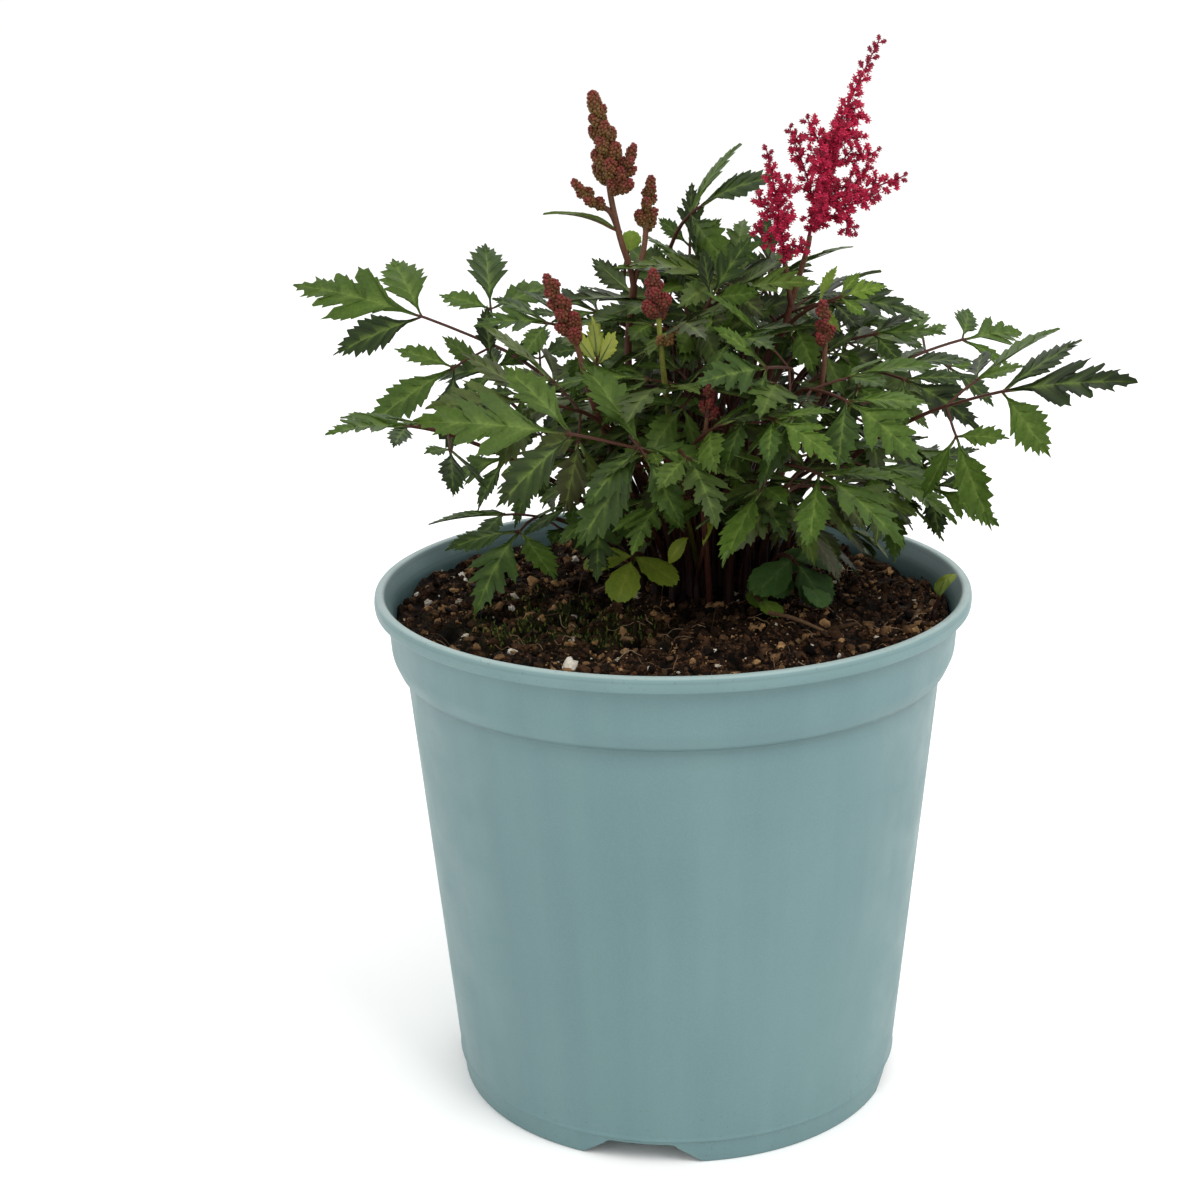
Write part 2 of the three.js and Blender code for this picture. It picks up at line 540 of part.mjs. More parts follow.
// Stems of closed buds: the way each goes up, and its heads.
const BUD_STEMS = [
  {
    name: "tall",
    stalks: [
      [[-11, 16, 215], [-13, 15, 243], [-11, 12, 261], [-15, 10, 276], [-18, 8, 292], [-18, 8, 298]],
      [[-13, 15, 243], [-11, 12, 261], [-8, 13, 270], [-7, 14, 277], [-7, 14, 282]],
      [[-15, 10, 277], [-18, 9, 284], [-21, 8, 286], [-24, 7, 289]],
    ],
    heads: [
      {
        name: "tall",
        path: [[-17, 8, 293], [-19, 7, 305], [-23, 4, 322]],
        radius: 5.6,
        rings: 10,
        side: { path: [[-15, 6, 292], [-10, 4, 306]], radius: 3.3, rings: 5 },
      },
      { name: "fork", path: [[-7, 14, 278], [-5, 15, 294]], radius: 3.7, rings: 6 },
      { name: "tall_side", path: [[-21, 8, 285], [-29, 5, 294]], radius: 3.1, rings: 5 },
    ],
    bract: { root: [-15.6, 9.6, 278], tip: [-38, 0, 286], roll: -20, droop: 35 },
    radius: [1.9, 1.1],
  },
  {
    name: "left",
    stalks: [[[-14, 2, 200], [-24, -13, 230], [-28, -19, 248], [-30, -20, 253]]],
    heads: [{ name: "left", path: [[-28, -19, 249], [-37, -24, 271]], radius: 4.6, rings: 9 }],
    radius: [1.6, 1],
  },
  {
    name: "middle",
    stalks: [[[3, -6, 200], [-1, -18, 231], [-3, -22, 255], [-3, -22, 260]]],
    heads: [{ name: "middle", path: [[-3, -22, 256], [-5, -24, 273]], radius: 4.6, rings: 7 }],
    radius: [1.5, 1],
  },
  {
    name: "right",
    stalks: [[[38, 0, 210], [46, -12, 232], [47, -16, 247], [47, -17, 250]]],
    heads: [{ name: "right", path: [[47, -16, 247], [46, -18, 260]], radius: 3.3, rings: 6 }],
    radius: [1.4, 0.9],
  },
  {
    name: "front",
    stalks: [[[10, -14, 195], [10, -32, 220], [11, -36, 229], [11, -36, 232]]],
    heads: [{ name: "front", path: [[11, -36, 229], [12, -37, 240]], radius: 2.9, rings: 5 }],
    radius: [1.3, 0.8],
  },
];

// The open plume: its stem, its main axis and branches, and the bloom on its side shoot.
const PLUME_STEM = {
  radius: [1.9, 1],
  stalks: [
    [[24, 20, 200], [34, 11, 240], [38, 8, 255], [41, 6, 266], [43, 4, 274], [43.3, 3.7, 276.3]],
    [[38, 8, 254], [37, 6, 261], [36, 3, 266], [35.7, 2.5, 268.2]],
  ],
};
const PLUMES = [
  {
    name: "plume_main",
    axis: [
      [43, 4, 275], [44, 3, 281], [48, 2, 292], [50, 1, 302], [52, 0, 311], [56, -1, 320], [64, -3, 337],
    ],
    branches: [
      [[44, 3, 278], [51, 0, 283], [57, -1, 278]],
      [[47, 2, 288], [60, 3, 290], [72, 4, 294]],
      [[45, 3, 284], [42, 5, 295], [37, 6, 309]],
      [[49, 1, 297], [46, 2, 304], [42, 3, 312]],
      [[50, 1, 299], [57, 1, 299], [63, 0, 302]],
      [[51, 0, 306], [59, 0, 306]],
      [[53, 0, 312], [60, 0, 312]],
      [[45, 3, 281], [46, -7, 286], [45, -14, 289]],
      [[45, 3, 283], [49, 12, 287], [51, 19, 293]],
      [[48, 2, 292], [46, -6, 297], [45, -11, 303]],
      [[49, 1, 295], [49, 9, 299], [49, 14, 305]],
      [[47, 2, 286], [55, -7, 287], [62, -13, 291]],
      [[46, 2, 286], [55, 9, 289], [62, 14, 296]],
      [[50, 1, 303], [52, -5, 307], [53, -9, 311]],
      [[51, 0, 305], [54, 5, 309], [56, 8, 313]],
    ],
  },
  {
    name: "plume_side",
    axis: [[35.8, 2.6, 267], [35, 1, 274], [33, -4, 287], [29, -8, 306]],
    branches: [
      [[35, 1, 273], [39, -2, 272], [42, -3, 275]],
      [[34, -1, 278], [29, -2, 278], [26, -2, 280]],
      [[34, -2, 280], [35, -9, 283], [36, -12, 287]],
      [[34, -3, 283], [29, 0, 286], [27, 2, 290]],
      [[33, -4, 288], [35, -9, 292], [36, -11, 296]],
    ],
  },
];
const FLORET_STEP = 2.5; // along an axis, from one whorl of florets to the next
const FLORET_REACH = 2.7; // how far a floret stands out from its axis
const AXIS_R = 0.75;
const SOCKET_R = 2.7;

// An axis covered in florets: two stand out from each ring, between those of the ring before. The first
// two rings are left plain and `socketR` wide where the axis takes the end of a stem.
function floweringAxis(curve, seed, socketR = 0) {
  const rings = Math.round(curve.getLength() / FLORET_STEP);
  return solidOf(
    tubeGeometry(curve, rings, 4, (k, i) => {
      if (k < 2 && socketR) return socketR;
      if ((i + k) % 2 || k === 0 || k === rings) return AXIS_R * (1 - (0.5 * k) / rings);
      const taper = Math.min(1, (0.35 + k) / 3, (rings - k + 1.2) / 4);
      return taper * (FLORET_REACH + spread(seed + 6 * k + i, 0.6));
    }),
  );
}

function plumeSolid({ axis, branches }, seed) {
  const parts = [floweringAxis(curveThrough(axis), seed, SOCKET_R)];
  branches.forEach((points, n) => parts.push(floweringAxis(curveThrough(points), seed + 100 * (n + 1))));
  return Manifold.union(parts);
}

// ---- assembly ----
const COLOURS = {
  pot: 0x7f9c9e,
  soil: 0x3b2d20,
  leaf: 0x3c5a28,
  fresh: 0x5f8a35,
  round: 0x33562f,
  yellow: 0x8a9a34,
  young: 0x9aa843,
  stem: 0x6b4a35,
  buds: 0x7a2f33,
  plume: 0xa81f3f,
};
const ROUGHNESS = { pot: 0.45, soil: 0.95, leaf: 0.6, stem: 0.6, buds: 0.7, plume: 0.8 };

const group = new THREE.Group();
const placed = []; // the plant's solids so far, which the next leaf keeps clear of

function addPiece(name, colour, solid, keepClear = true) {
  const material = new THREE.MeshStandardMaterial({
    color: COLOURS[colour],
    roughness: ROUGHNESS[colour] ?? ROUGHNESS.leaf,
    metalness: 0,
  });
  const mesh = new THREE.Mesh(geometryOf(solid), material);
  mesh.name = name;
  group.add(mesh);
  if (keepClear) placed.push({ name, solid, box: solid.boundingBox() });
  return solid;
}

function isClear(solid) {
  const box = solid.boundingBox();
  const isPast = (a, b, k) => a.min[k] > b.max[k] + GAP || b.min[k] > a.max[k] + GAP;
  const isApart = (other) => [0, 1, 2].some((k) => isPast(box, other, k));
  return placed.every((other) => isApart(other.box) || solid.minGap(other.solid, 2 * GAP) >= GAP);
}

// Where every stalk meets the compost: out from the crown's middle towards its hub, the low ones further
// out, then eased apart until each has room.
function standFeet(stalks) {
  const feet = stalks.map(({ aim, r }) => {
    const out = new THREE.Vector2(aim[0], aim[1]).sub(CROWN);
    const lean = out.length() / (aim[2] - POT_HEIGHT + SOIL_DROP);
    const at = CROWN.clone().addScaledVector(out.normalize(), CROWN_R * Math.min(1, 0.25 + 0.6 * lean));
    return Object.assign(at, { r });
  });
  for (let round = 0; round < 80; round++)
    for (const a of feet)
      for (const b of feet) {
        const gap = a.distanceTo(b);
        if (a === b || gap > STALK_SPACING) continue;
        const push = b.clone().sub(a).multiplyScalar((0.5 * (STALK_SPACING - gap)) / gap);
        a.sub(push);
        b.add(push);
      }
  return feet;
}

const STEM_LEAN = 0.5; // a stem already leans a little inside its hole
const stalks = [
  ...BUD_STEMS.map(({ stalks: [path], radius }) => ({ aim: path[1], r: radius[0] + STEM_LEAN })),
  { aim: PLUME_STEM.stalks[0][1], r: PLUME_STEM.radius[0] + STEM_LEAN },
  ...LEAVES.map(({ hub }) => ({ aim: hub, r: PETIOLE_R[0] })),
  ...SMALL_LEAVES.map(({ hub }) => ({ aim: hub, r: 1 })),
];
const feet = standFeet(stalks);
addPiece("pot", "pot", potSolid(), false);
addPiece("compost", "soil", soilSolid(feet));

const buried = (foot) => [foot.x, foot.y, soilHeight(foot.x, foot.y) - PLANTING_DEPTH];
const surfaced = (foot) => [foot.x, foot.y, soilHeight(foot.x, foot.y) + 2];
let nextFoot = 0;

// The stalks of one stem, swollen by a gap where they are to cut sockets in what sits on them.
function stemParts(paths, radius, foot, swell = 0) {
  return paths.map((path, n) => {
    const points = n === 0 ? [buried(foot), surfaced(foot), ...path] : path;
    const [from, to] = n === 0 ? radius : [0.75 * radius[0], radius[1]];
    return stemSolid(points, from + 1.5 * swell, to + 1.5 * swell, n === 0 ? 8 : 3, 4, swell);
  });
}

for (const { name, stalks: paths, heads, bract, radius } of BUD_STEMS) {
  const foot = feet[nextFoot++];
  const parts = stemParts(paths, radius, foot);
  if (bract) {
    const [root, tip] = [new THREE.Vector3(...bract.root), new THREE.Vector3(...bract.tip)];
    parts.push(solidOf(bractGeometry({ ...bract, root, tip })));
  }
  addPiece(`stem_${name}`, "stem", Manifold.union(parts));
  const cutter = Manifold.union(stemParts(paths, radius, foot, GAP));
  for (const head of heads) {
    const clusters = head.side ? [head, head.side] : [head];
    const solid = Manifold.union(clusters.map((cluster) => headSolid(cluster)));
    addPiece(`buds_${head.name}`, "buds", solid.subtract(cutter));
  }
}

const plumeFoot = feet[nextFoot++];
const plumeStem = (swell) =>
  Manifold.union(stemParts(PLUME_STEM.stalks, PLUME_STEM.radius, plumeFoot, swell));
addPiece("stem_plume", "stem", plumeStem(0));
const plumeCutter = plumeStem(GAP);
PLUMES.forEach((plume, n) => {
  const solid = plumeSolid(plume, 900 + 2000 * n);
  addPiece(plume.name, "plume", solid.subtract(plumeCutter));
});

// A leaf is turned about the crown and lifted, by as little as will do, until it is clear of what is there.
const TURNS = [0, 4, -4, 8, -8, 12, -12, 16, -16, 20, -20, 26, -26, 32, -32];
const LIFTS = [0, 4, -4, 8, -8, 12, 16, 20];
const NUDGES = TURNS.flatMap((turn) => LIFTS.map((lift) => ({ turn, lift })));
NUDGES.sort((a, b) => Math.hypot(a.turn, a.lift) - Math.hypot(b.turn, b.lift));

function nudged([x, y, z], { turn, lift }) {
  const at = new THREE.Vector2(x, y).rotateAround(CROWN, turn * RAD);
  return new THREE.Vector3(at.x, at.y, z + lift);
}

function standLeaf(name, colour, leaf) {
  for (const nudge of NUDGES) {
    const place = { hub: nudged(leaf.hub, nudge), tip: nudged(leaf.tip, nudge) };
    const solid = solidOf(leafGeometry({ ...leaf, ...place }));
    if (!isClear(solid)) continue;
    return addPiece(name, colour, solid);
  }
  throw new Error(`${name} finds no clear place`);
}

LEAVES.forEach((leaf, n) => {
  const seed = 40 * n;
  standLeaf(`leaf_${leaf.name}`, leaf.colour ?? "leaf", { ...leaf, seed, foot: feet[nextFoot++] });
});
SMALL_LEAVES.forEach((leaf, n) => {
  const own = { seed: 3000 + 10 * n, foot: feet[nextFoot++], petiole: [1, 0.75] };
  standLeaf(`leaf_${leaf.kind}`, leaf.kind, { ...leaf, ...own });
});

export default group;
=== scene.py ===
# A potted astilbe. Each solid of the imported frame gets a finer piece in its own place: serrated leaflets on
# round stalks, heads made of single buds, a plume made of single florets, and a moulded pot full of crumbly
# compost. Lengths are in millimetres, in the frame's own axes, until a piece becomes a mesh in metres.
import math
from itertools import combinations

import bpy
import numpy as np
from mathutils import Matrix, Vector, noise


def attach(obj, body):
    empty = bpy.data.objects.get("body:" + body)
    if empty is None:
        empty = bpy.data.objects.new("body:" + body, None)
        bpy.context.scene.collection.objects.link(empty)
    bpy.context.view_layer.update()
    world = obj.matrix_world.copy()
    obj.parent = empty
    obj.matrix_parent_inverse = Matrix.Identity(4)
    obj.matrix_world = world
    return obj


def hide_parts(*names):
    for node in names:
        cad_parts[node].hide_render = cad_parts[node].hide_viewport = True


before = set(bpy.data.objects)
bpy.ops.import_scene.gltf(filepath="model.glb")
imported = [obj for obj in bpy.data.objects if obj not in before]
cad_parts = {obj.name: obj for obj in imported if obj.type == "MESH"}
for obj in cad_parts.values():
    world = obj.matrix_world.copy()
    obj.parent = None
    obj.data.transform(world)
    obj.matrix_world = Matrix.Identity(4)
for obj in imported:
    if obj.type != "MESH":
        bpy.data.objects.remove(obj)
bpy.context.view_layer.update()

MM = 0.001
GOLDEN_TURN = math.radians(137.5)


def add_object(name, data):
    made = bpy.data.objects.new(name, data)
    bpy.context.scene.collection.objects.link(made)
    return made


# ---- camera ----
LENS = 65.67
EYE = (0.44, -670.7, 369.7)
PITCH, YAW, ROLL = 0.301, -0.035, -0.02  # in radians


def make_camera():
    level = math.cos(PITCH)
    forward = Vector((math.sin(YAW) * level, math.cos(YAW) * level, -math.sin(PITCH)))
    right = Vector((math.cos(YAW), -math.sin(YAW), 0))
    up = right.cross(forward)
    right, up = right * math.cos(ROLL) + up * math.sin(ROLL), up * math.cos(ROLL) - right * math.sin(ROLL)
    data = bpy.data.cameras.new("camera")
    data.lens = LENS
    data.clip_end = 100
    camera = add_object("camera", data)
    turned = Matrix((right, up, -forward)).transposed().to_4x4()
    camera.matrix_world = Matrix.Translation(Vector(EYE) * MM) @ turned
    bpy.context.scene.camera = camera


make_camera()


# ---- chance that is the same on every run, and as in the solids ----
def chance(n):
    v = math.sin(n * 12.9898 + 78.233) * 43758.5453
    return v - math.floor(v)


def spread(n, amount):
    """A number between -amount and amount."""
    return (chance(n) * 2 - 1) * amount


# ---- directions ----
def vec(*numbers):
    return np.array(numbers, dtype=float)


UP = vec(0, 0, 1)
LEANING_UP = UP + vec(0.1, 0.2, 0)


def unit(v):
    return v / np.linalg.norm(v)


def level_way(turn):
    """The level direction at an angle about the pot's axis."""
    return vec(math.cos(turn), math.sin(turn), 0)


def spiral_way(a, b, n, start):
    """The n-th direction of a spiral in the plane of two directions."""
    turn = n * GOLDEN_TURN + start
    return a * math.cos(turn) + b * math.sin(turn)


def axes_about(way):
    """Three directions square to each other, the last of them the given one."""
    side = unit(np.cross(way, LEANING_UP))
    return np.array([side, np.cross(way, side), way])


# ---- sizes shared with the solids ----
POT_HEIGHT = 167.6
RIM_R = 95
LIP_HEIGHT = 4.8
COLLAR_FOOT = 143.3
COLLAR_R = 91
WALL_TOP_R = 85.7
WALL_FOOT_R = 73
FOOT_R = 71.8
FOOT_HEIGHT = 8.1
WALL = 1.7
NOTCH_TURN = math.radians(-99)
DRAIN_R = 5
DRAIN_CIRCLE_R = 48
SOIL_DROP = 9.5
PLANTING_DEPTH = 9
CROWN = vec(13, 25)
CROWN_R = 21
STALK_SPACING = 6.4
PETIOLE_R, SMALL_PETIOLE_R = 1.4, 1
COLLAR_RISE = 3
RACHIS_R = 0.75
TURNS = (0, 4, -4, 8, -8, 12, -12, 16, -16, 20, -20, 26, -26, 32, -32)  # about the crown, in degrees
LIFTS = (0, 4, -4, 8, -8, 12, 16, 20)  # of a leaf, in millimetres
HEAPS = [(*CROWN, 4, 900), (28, -48, 4, 800), (-16, -26, -4, 500), (-66, 26, 3, 500)]  # x, y, rise, spread


def soil_height(x, y):
    height = POT_HEIGHT - SOIL_DROP
    for a, b, rise, wide in HEAPS:
        height = height + rise * np.exp(-((x - a) ** 2 + (y - b) ** 2) / wide)
    lumps = 1.1 * np.sin(x * 0.21 + 1.3) * np.cos(y * 0.19 - 0.4) + 0.7 * np.sin(x * 0.33 - y * 0.27)
    return height + lumps


# ---- meshes ----
def shade_smooth(mesh, sharp):
    """Smooth shading, but for edges sharper than so many degrees."""
    mesh.shade_smooth()
    mesh.set_sharp_from_angle(angle=math.radians(sharp))


class Piece:
    """The closed shells that make up one object. A tint is four numbers that the materials read. `across`
    says where a leaf blade has its rows of points, from the rib to the margin, and `blade` and `stalk` are
    the numbers of the materials of its leaves."""

    def __init__(self, across=(0.5, 1.0), blade=0, stalk=1):
        self.points, self.faces, self.tints, self.materials = [], [], [], []
        self.size = 0
        self.across, self.blade, self.stalk = across, blade, stalk
        self.is_fine = len(across) > 1

    def add(self, points, faces, tint=(0.5, 0, 0, 0), material=0):
        tint = np.asarray(tint, dtype=float)
        self.points.append(points)
        self.tints.append(np.tile(tint, (len(points), 1)) if tint.ndim == 1 else tint)
        self.faces.extend(tuple(i + self.size for i in face) for face in faces)
        self.materials.extend([material] * len(faces))
        self.size += len(points)

    def mesh(self, name):
        made = bpy.data.meshes.new(name)
        made.from_pydata((np.vstack(self.points) * MM).tolist(), [], self.faces)
        return made

    def build(self, name, materials, slot, *nodes, sharp=50):
        mesh = self.mesh(name)
        mesh.polygons.foreach_set("material_index", self.materials)
        colours = mesh.color_attributes.new("tint", "FLOAT_COLOR", "POINT")
        colours.data.foreach_set("color", np.vstack(self.tints).ravel())
        for material in materials:
            mesh.materials.append(material)
        shade_smooth(mesh, sharp)
        piece = add_object(name, mesh)
        if nodes:
            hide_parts(*nodes)
        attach(piece, "root")
        return piece


def curve_through(points, count):
    """`count` points, evenly spaced, on the smooth curve through the given ones."""
    p = [np.array(q, dtype=float) for q in points]
    p = [2 * p[0] - p[1], *p, 2 * p[-1] - p[-2]]
    dense = []
    for a, b, c, d in zip(p, p[1:], p[2:], p[3:]):
        k0, k1, k2 = (math.sqrt(np.linalg.norm(v)) for v in (b - a, c - b, d - c))
        m1 = k1 * ((b - a) / k0 - (c - a) / (k0 + k1) + (c - b) / k1)
        m2 = k1 * ((c - b) / k1 - (d - b) / (k1 + k2) + (d - c) / k2)
        for t in np.arange(0, 1, 0.05):
            dense.append(b + t * (m1 + t * ((3 * (c - b) - 2 * m1 - m2) + t * (2 * (b - c) + m1 + m2))))
    dense = np.array([*dense, p[-2]])
    along = np.concatenate([[0], np.cumsum(np.linalg.norm(np.diff(dense, axis=0), axis=1))])
    at = np.linspace(0, along[-1], count)
    return np.stack([np.interp(at, along, dense[:, k]) for k in range(3)], axis=1)


def length_of(path):
    return float(np.linalg.norm(np.diff(path, axis=0), axis=1).sum())


def frames_along(path):
    """The direction of a path at each of its points, with two directions square to it that turn as little as
    can be."""
    along = np.gradient(path, axis=0)
    along /= np.linalg.norm(along, axis=1)[:, None]
    side = np.array([0.8, 0.5, 0.1])
    sides = []
    for direction in along:
        side = unit(side - side.dot(direction) * direction)
        sides.append(side)
    sides = np.array(sides)
    return along, sides, np.cross(along, sides)


def band(a, b, sides):
    """The faces between two rings of points, from the number of each ring's first point."""
    return [(a + i, a + (i + 1) % sides, b + (i + 1) % sides, b + i) for i in range(sides)]


def tube(path, radii, sides):
    """A round, closed tube along a path, with its radius at each point."""
    _, across, over = frames_along(path)
    turns = np.arange(sides) * 2 * math.pi / sides
    radii = np.broadcast_to(radii, len(path))[:, None, None]
    rings = across[:, None] * np.cos(turns)[:, None] + over[:, None] * np.sin(turns)[:, None]
    points = (path[:, None] + rings * radii).reshape(-1, 3)
    faces = [tuple(range(sides))[::-1], tuple(len(points) - sides + i for i in range(sides))]
    for first in range(0, len(points) - sides, sides):
        faces += band(first, first + sides, sides)
    return points, faces


def ring_tints(shades, sides):
    """The tints of a tube, from one shade for each of its rings."""
    tints = np.zeros((len(shades) * sides, 4))
    tints[:, 0] = np.repeat(shades, sides)
    return tints


def swelling(share, reach):
    """How much thicker a stalk is where it leaves the compost."""
    return 0.5 * np.exp(-((share / reach) ** 2))


def unit_ball(rounds):
    """The points and triangles of a ball of radius 1: an icosahedron, split so many times."""
    g = (1 + math.sqrt(5)) / 2
    corners = [(a, b * g, 0) for a in (-1, 1) for b in (-1, 1)]
    points = [unit(np.roll(np.array(c, dtype=float), k)) for k in range(3) for c in corners]
    faces = []
    for abc in combinations(range(12), 3):
        a, b, c = (points[i] for i in abc)
        if all(np.linalg.norm(p - q) < 1.1 for p, q in ((a, b), (b, c), (a, c))):
            faces.append(abc if np.dot(np.cross(b - a, c - a), a) > 0 else (abc[0], abc[2], abc[1]))
    for _ in range(rounds):
        middles, split = {}, []

        def middle(a, b):
            key = (min(a, b), max(a, b))
            if key not in middles:
                middles[key] = len(points)
                points.append(unit(points[a] + points[b]))
            return middles[key]

        for a, b, c in faces:
            ab, bc, ca = middle(a, b), middle(b, c), middle(c, a)
            split += [(a, ab, ca), (ab, b, bc), (ca, bc, c), (ab, bc, ca)]
        faces = split
    return np.array(points), faces


BALL = unit_ball(1)
BEAD = unit_ball(0)


def turned_axes(seed):
    """Three directions square to each other, turned at random."""
    a = unit(vec(spread(seed, 1), spread(seed + 1, 1), spread(seed + 2, 1)) + 1e-3)
    b = unit(np.cross(a, UP + 0.01))
    return np.array([a, b, np.cross(a, b)])


def lump(centre, radii, seed, roughness, ball=BALL):
    """An irregular grain: a ball stretched to the given radii along random axes and dented."""
    points, faces = ball
    dents = np.array([noise.noise(Vector(p * 1.7 + seed * 3.1)) for p in points])
    return centre + (points * (1 + roughness * dents)[:, None] * radii) @ turned_axes(seed), faces


# ---- materials ----
class Finish:
    """A material built from nodes that end in one Principled shader."""

    def __init__(self, name, roughness, **constants):
        self.material = bpy.data.materials.new(name)
        self.material.use_nodes = True
        self.nodes = self.material.node_tree.nodes
        self.links = self.material.node_tree.links
        self.shader = self.nodes["Principled BSDF"]
        self.shader.inputs["Roughness"].default_value = roughness
        for socket, value in constants.items():
            self.shader.inputs[socket.replace("_", " ")].default_value = value

    def node(self, kind, sockets=None, **settings):
        made = self.nodes.new("ShaderNode" + kind)
        for key, value in settings.items():
            setattr(made, key, value)
        for key, value in (sockets or {}).items():
            if isinstance(value, bpy.types.NodeSocket):
                self.links.new(value, made.inputs[key])
            else:
                made.inputs[key].default_value = value
        return made

    def place(self, stretch=(1, 1, 1)):
        """Where on the object a point lies, in millimetres, stretched along the axes."""
        here = self.node("TexCoord").outputs["Object"]
        scale = tuple(1000 * s for s in stretch)
        return self.node("Mapping", {"Vector": here, "Scale": scale}).outputs["Vector"]

    def noise(self, scale, detail=4, stretch=(1, 1, 1), roughness=0.55):
        sockets = {"Vector": self.place(stretch), "Scale": scale, "Detail": detail, "Roughness": roughness}
        return self.node("TexNoise", sockets).outputs["Fac"]

    def tint(self):
        colour = self.node("Attribute", attribute_name="tint")
        parts = self.node("SeparateColor", {"Color": colour.outputs["Color"]})
        return parts.outputs["Red"], parts.outputs["Green"], parts.outputs["Blue"], colour.outputs["Alpha"]

    def ramp(self, factor, *stops):
        made = self.node("ValToRGB", {"Fac": factor})
        elements = made.color_ramp.elements
        while len(elements) < len(stops):
            elements.new(0.5)
        for element, (at, colour) in zip(elements, stops):
            element.position = at
            element.color = (*linear(colour), 1) if isinstance(colour, str) else (colour, colour, colour, 1)
        return made.outputs["Color"]

    def mix(self, factor, a, b, blend="MIX"):
        made = self.node("Mix", data_type="RGBA", blend_type=blend)
        sockets = [made.inputs[0], made.inputs[6], made.inputs[7]]
        for socket, value in zip(sockets, (factor, a, b)):
            if isinstance(value, bpy.types.NodeSocket):
                self.links.new(value, socket)
            elif isinstance(value, str):
                socket.default_value = (*linear(value), 1)
            else:
                socket.default_value = value
        return made.outputs[2]

    def math(self, operation, a, b=0.0):
        return self.node("Math", {0: a, 1: b}, operation=operation).outputs[0]

    def part(self, value, low, high, most=1.0):
        """How far a value is on its way from low to high, from 0 to `most`."""
        return self.node("MapRange", {"Value": value, 1: low, 2: high, 3: 0.0, 4: most}).outputs[0]

    def wash(self, colour, mask, amount, over):
        """A colour with some of another over it: the mask says where, and the amount how much."""
        return self.mix(self.math("MULTIPLY", mask, amount), colour, over)

    def colour(self, socket):
        self.links.new(socket, self.shader.inputs["Base Color"])

    def rough(self, socket):
        self.links.new(socket, self.shader.inputs["Roughness"])

    def bump(self, height, strength, distance):
        made = self.node("Bump", {"Height": height, "Strength": strength, "Distance": distance * MM})
        self.links.new(made.outputs["Normal"], self.shader.inputs["Normal"])


def linear(code):
    """The linear colour of a web colour code."""
    parts = [int(code[i : i + 2], 16) / 255 for i in (1, 3, 5)]
    return [c / 12.92 if c <= 0.04045 else ((c + 0.055) / 1.055) ** 2.4 for c in parts]


LINES_BELOW = 8  # how far below the collar's foot the shadow lines begin
SHADOW_LINES = [  # how far above the collar's foot, and how light the pot is there
    (-8, 1.0), (-3, 0.93), (-0.6, 0.78), (0.4, 0.84), (1.2, 1.0), (18.6, 1.0), (19.3, 0.84), (19.6, 1.0),
    (22.2, 1.0), (22.7, 0.86), (23.2, 1.0),
]


def pot_finish():
    """Blue-grey plastic in soft bands, with painted shadow lines under the lip and the collar, a painted
    highlight over the rim and along its top edge, and specks of soil, which are thicker at the rim and at the
    foot."""
    f = Finish("pot_plastic", 0.45, Specular_IOR_Level=0.45)
    cloud = f.ramp(f.noise(0.012, 3), (0.3, "#57767a"), (0.7, "#617f81"))
    bands = f.ramp(f.noise(0.09, 2, (1, 1, 0.02)), (0.35, "#587375"), (0.65, "#64807f"))
    body = f.mix(0.3, cloud, bands)
    body = f.wash(body, f.ramp(f.noise(1.6, 3), (0.4, 0.0), (0.75, 1.0)), 0.1, "#829c9a")
    height = f.node("SeparateXYZ", {"Vector": f.place()}).outputs["Z"]
    rim = f.part(height, POT_HEIGHT - 7, POT_HEIGHT)
    foot = f.part(height, 26.0, 0.0)
    # Painted highlight: the top 7 mm of the pot, over the rim, are washed paler. The same rim mask also
    # thickens the specks of soil further down.
    body = f.wash(body, rim, 0.3, "#7c9492")
    upper = f.part(height, COLLAR_FOOT - LINES_BELOW, POT_HEIGHT)
    span = POT_HEIGHT - COLLAR_FOOT + LINES_BELOW
    shadows = f.ramp(upper, *(((z + LINES_BELOW) / span, light) for z, light in SHADOW_LINES))
    body = f.mix(1.0, body, shadows, "MULTIPLY")
    # Painted highlight: a pale line along the pot's top edge.
    body = f.mix(f.part(height, POT_HEIGHT - 0.7, POT_HEIGHT, 0.5), body, "#b0c0bc")
    specks = f.ramp(f.noise(0.62, 5, roughness=0.7), (0.60, 0.0), (0.68, 1.0))
    amount = f.math("ADD", f.math("MULTIPLY", rim, 0.35), f.math("ADD", f.math("MULTIPLY", foot, 0.35), 0.08))
    f.colour(f.wash(body, specks, amount, "#4c4335"))
    f.rough(f.ramp(f.noise(0.05, 4), (0.3, 0.38), (0.7, 0.56)))
    f.bump(f.mix(0.5, f.noise(0.35, 4), f.noise(2.6, 2)), 0.25, 0.25)
    return f.material


def soil_finish():
    """Moist compost: fine browns, with darker places, painted shade in the hollows between clods, and moss.
    """
    f = Finish("compost_soil", 0.9, Specular_IOR_Level=0.08)
    fine = f.noise(0.75, 8, roughness=0.72)
    coarse = f.noise(0.12, 4)
    browns = [(0.38, "#030201"), (0.47, "#1d120b"), (0.55, "#4a3221"), (0.64, "#7a573a"), (0.78, "#a98260")]
    colour = f.mix(f.ramp(coarse, (0.38, 0.75), (0.62, 0.0)), f.ramp(fine, *browns), "#0a0604")
    hollow_shade, green, _, _ = f.tint()
    colour = f.wash(colour, green, 0.6, "#2c3314")
    # Painted shade: the deeper a place lies between the clods, the nearer to black it is.
    f.colour(f.wash(colour, hollow_shade, 0.92, "#040302"))
    f.rough(f.ramp(coarse, (0.3, 0.62), (0.6, 0.95)))
    f.bump(f.mix(0.5, fine, f.noise(2.4, 6)), 0.9, 1.2)
    return f.material


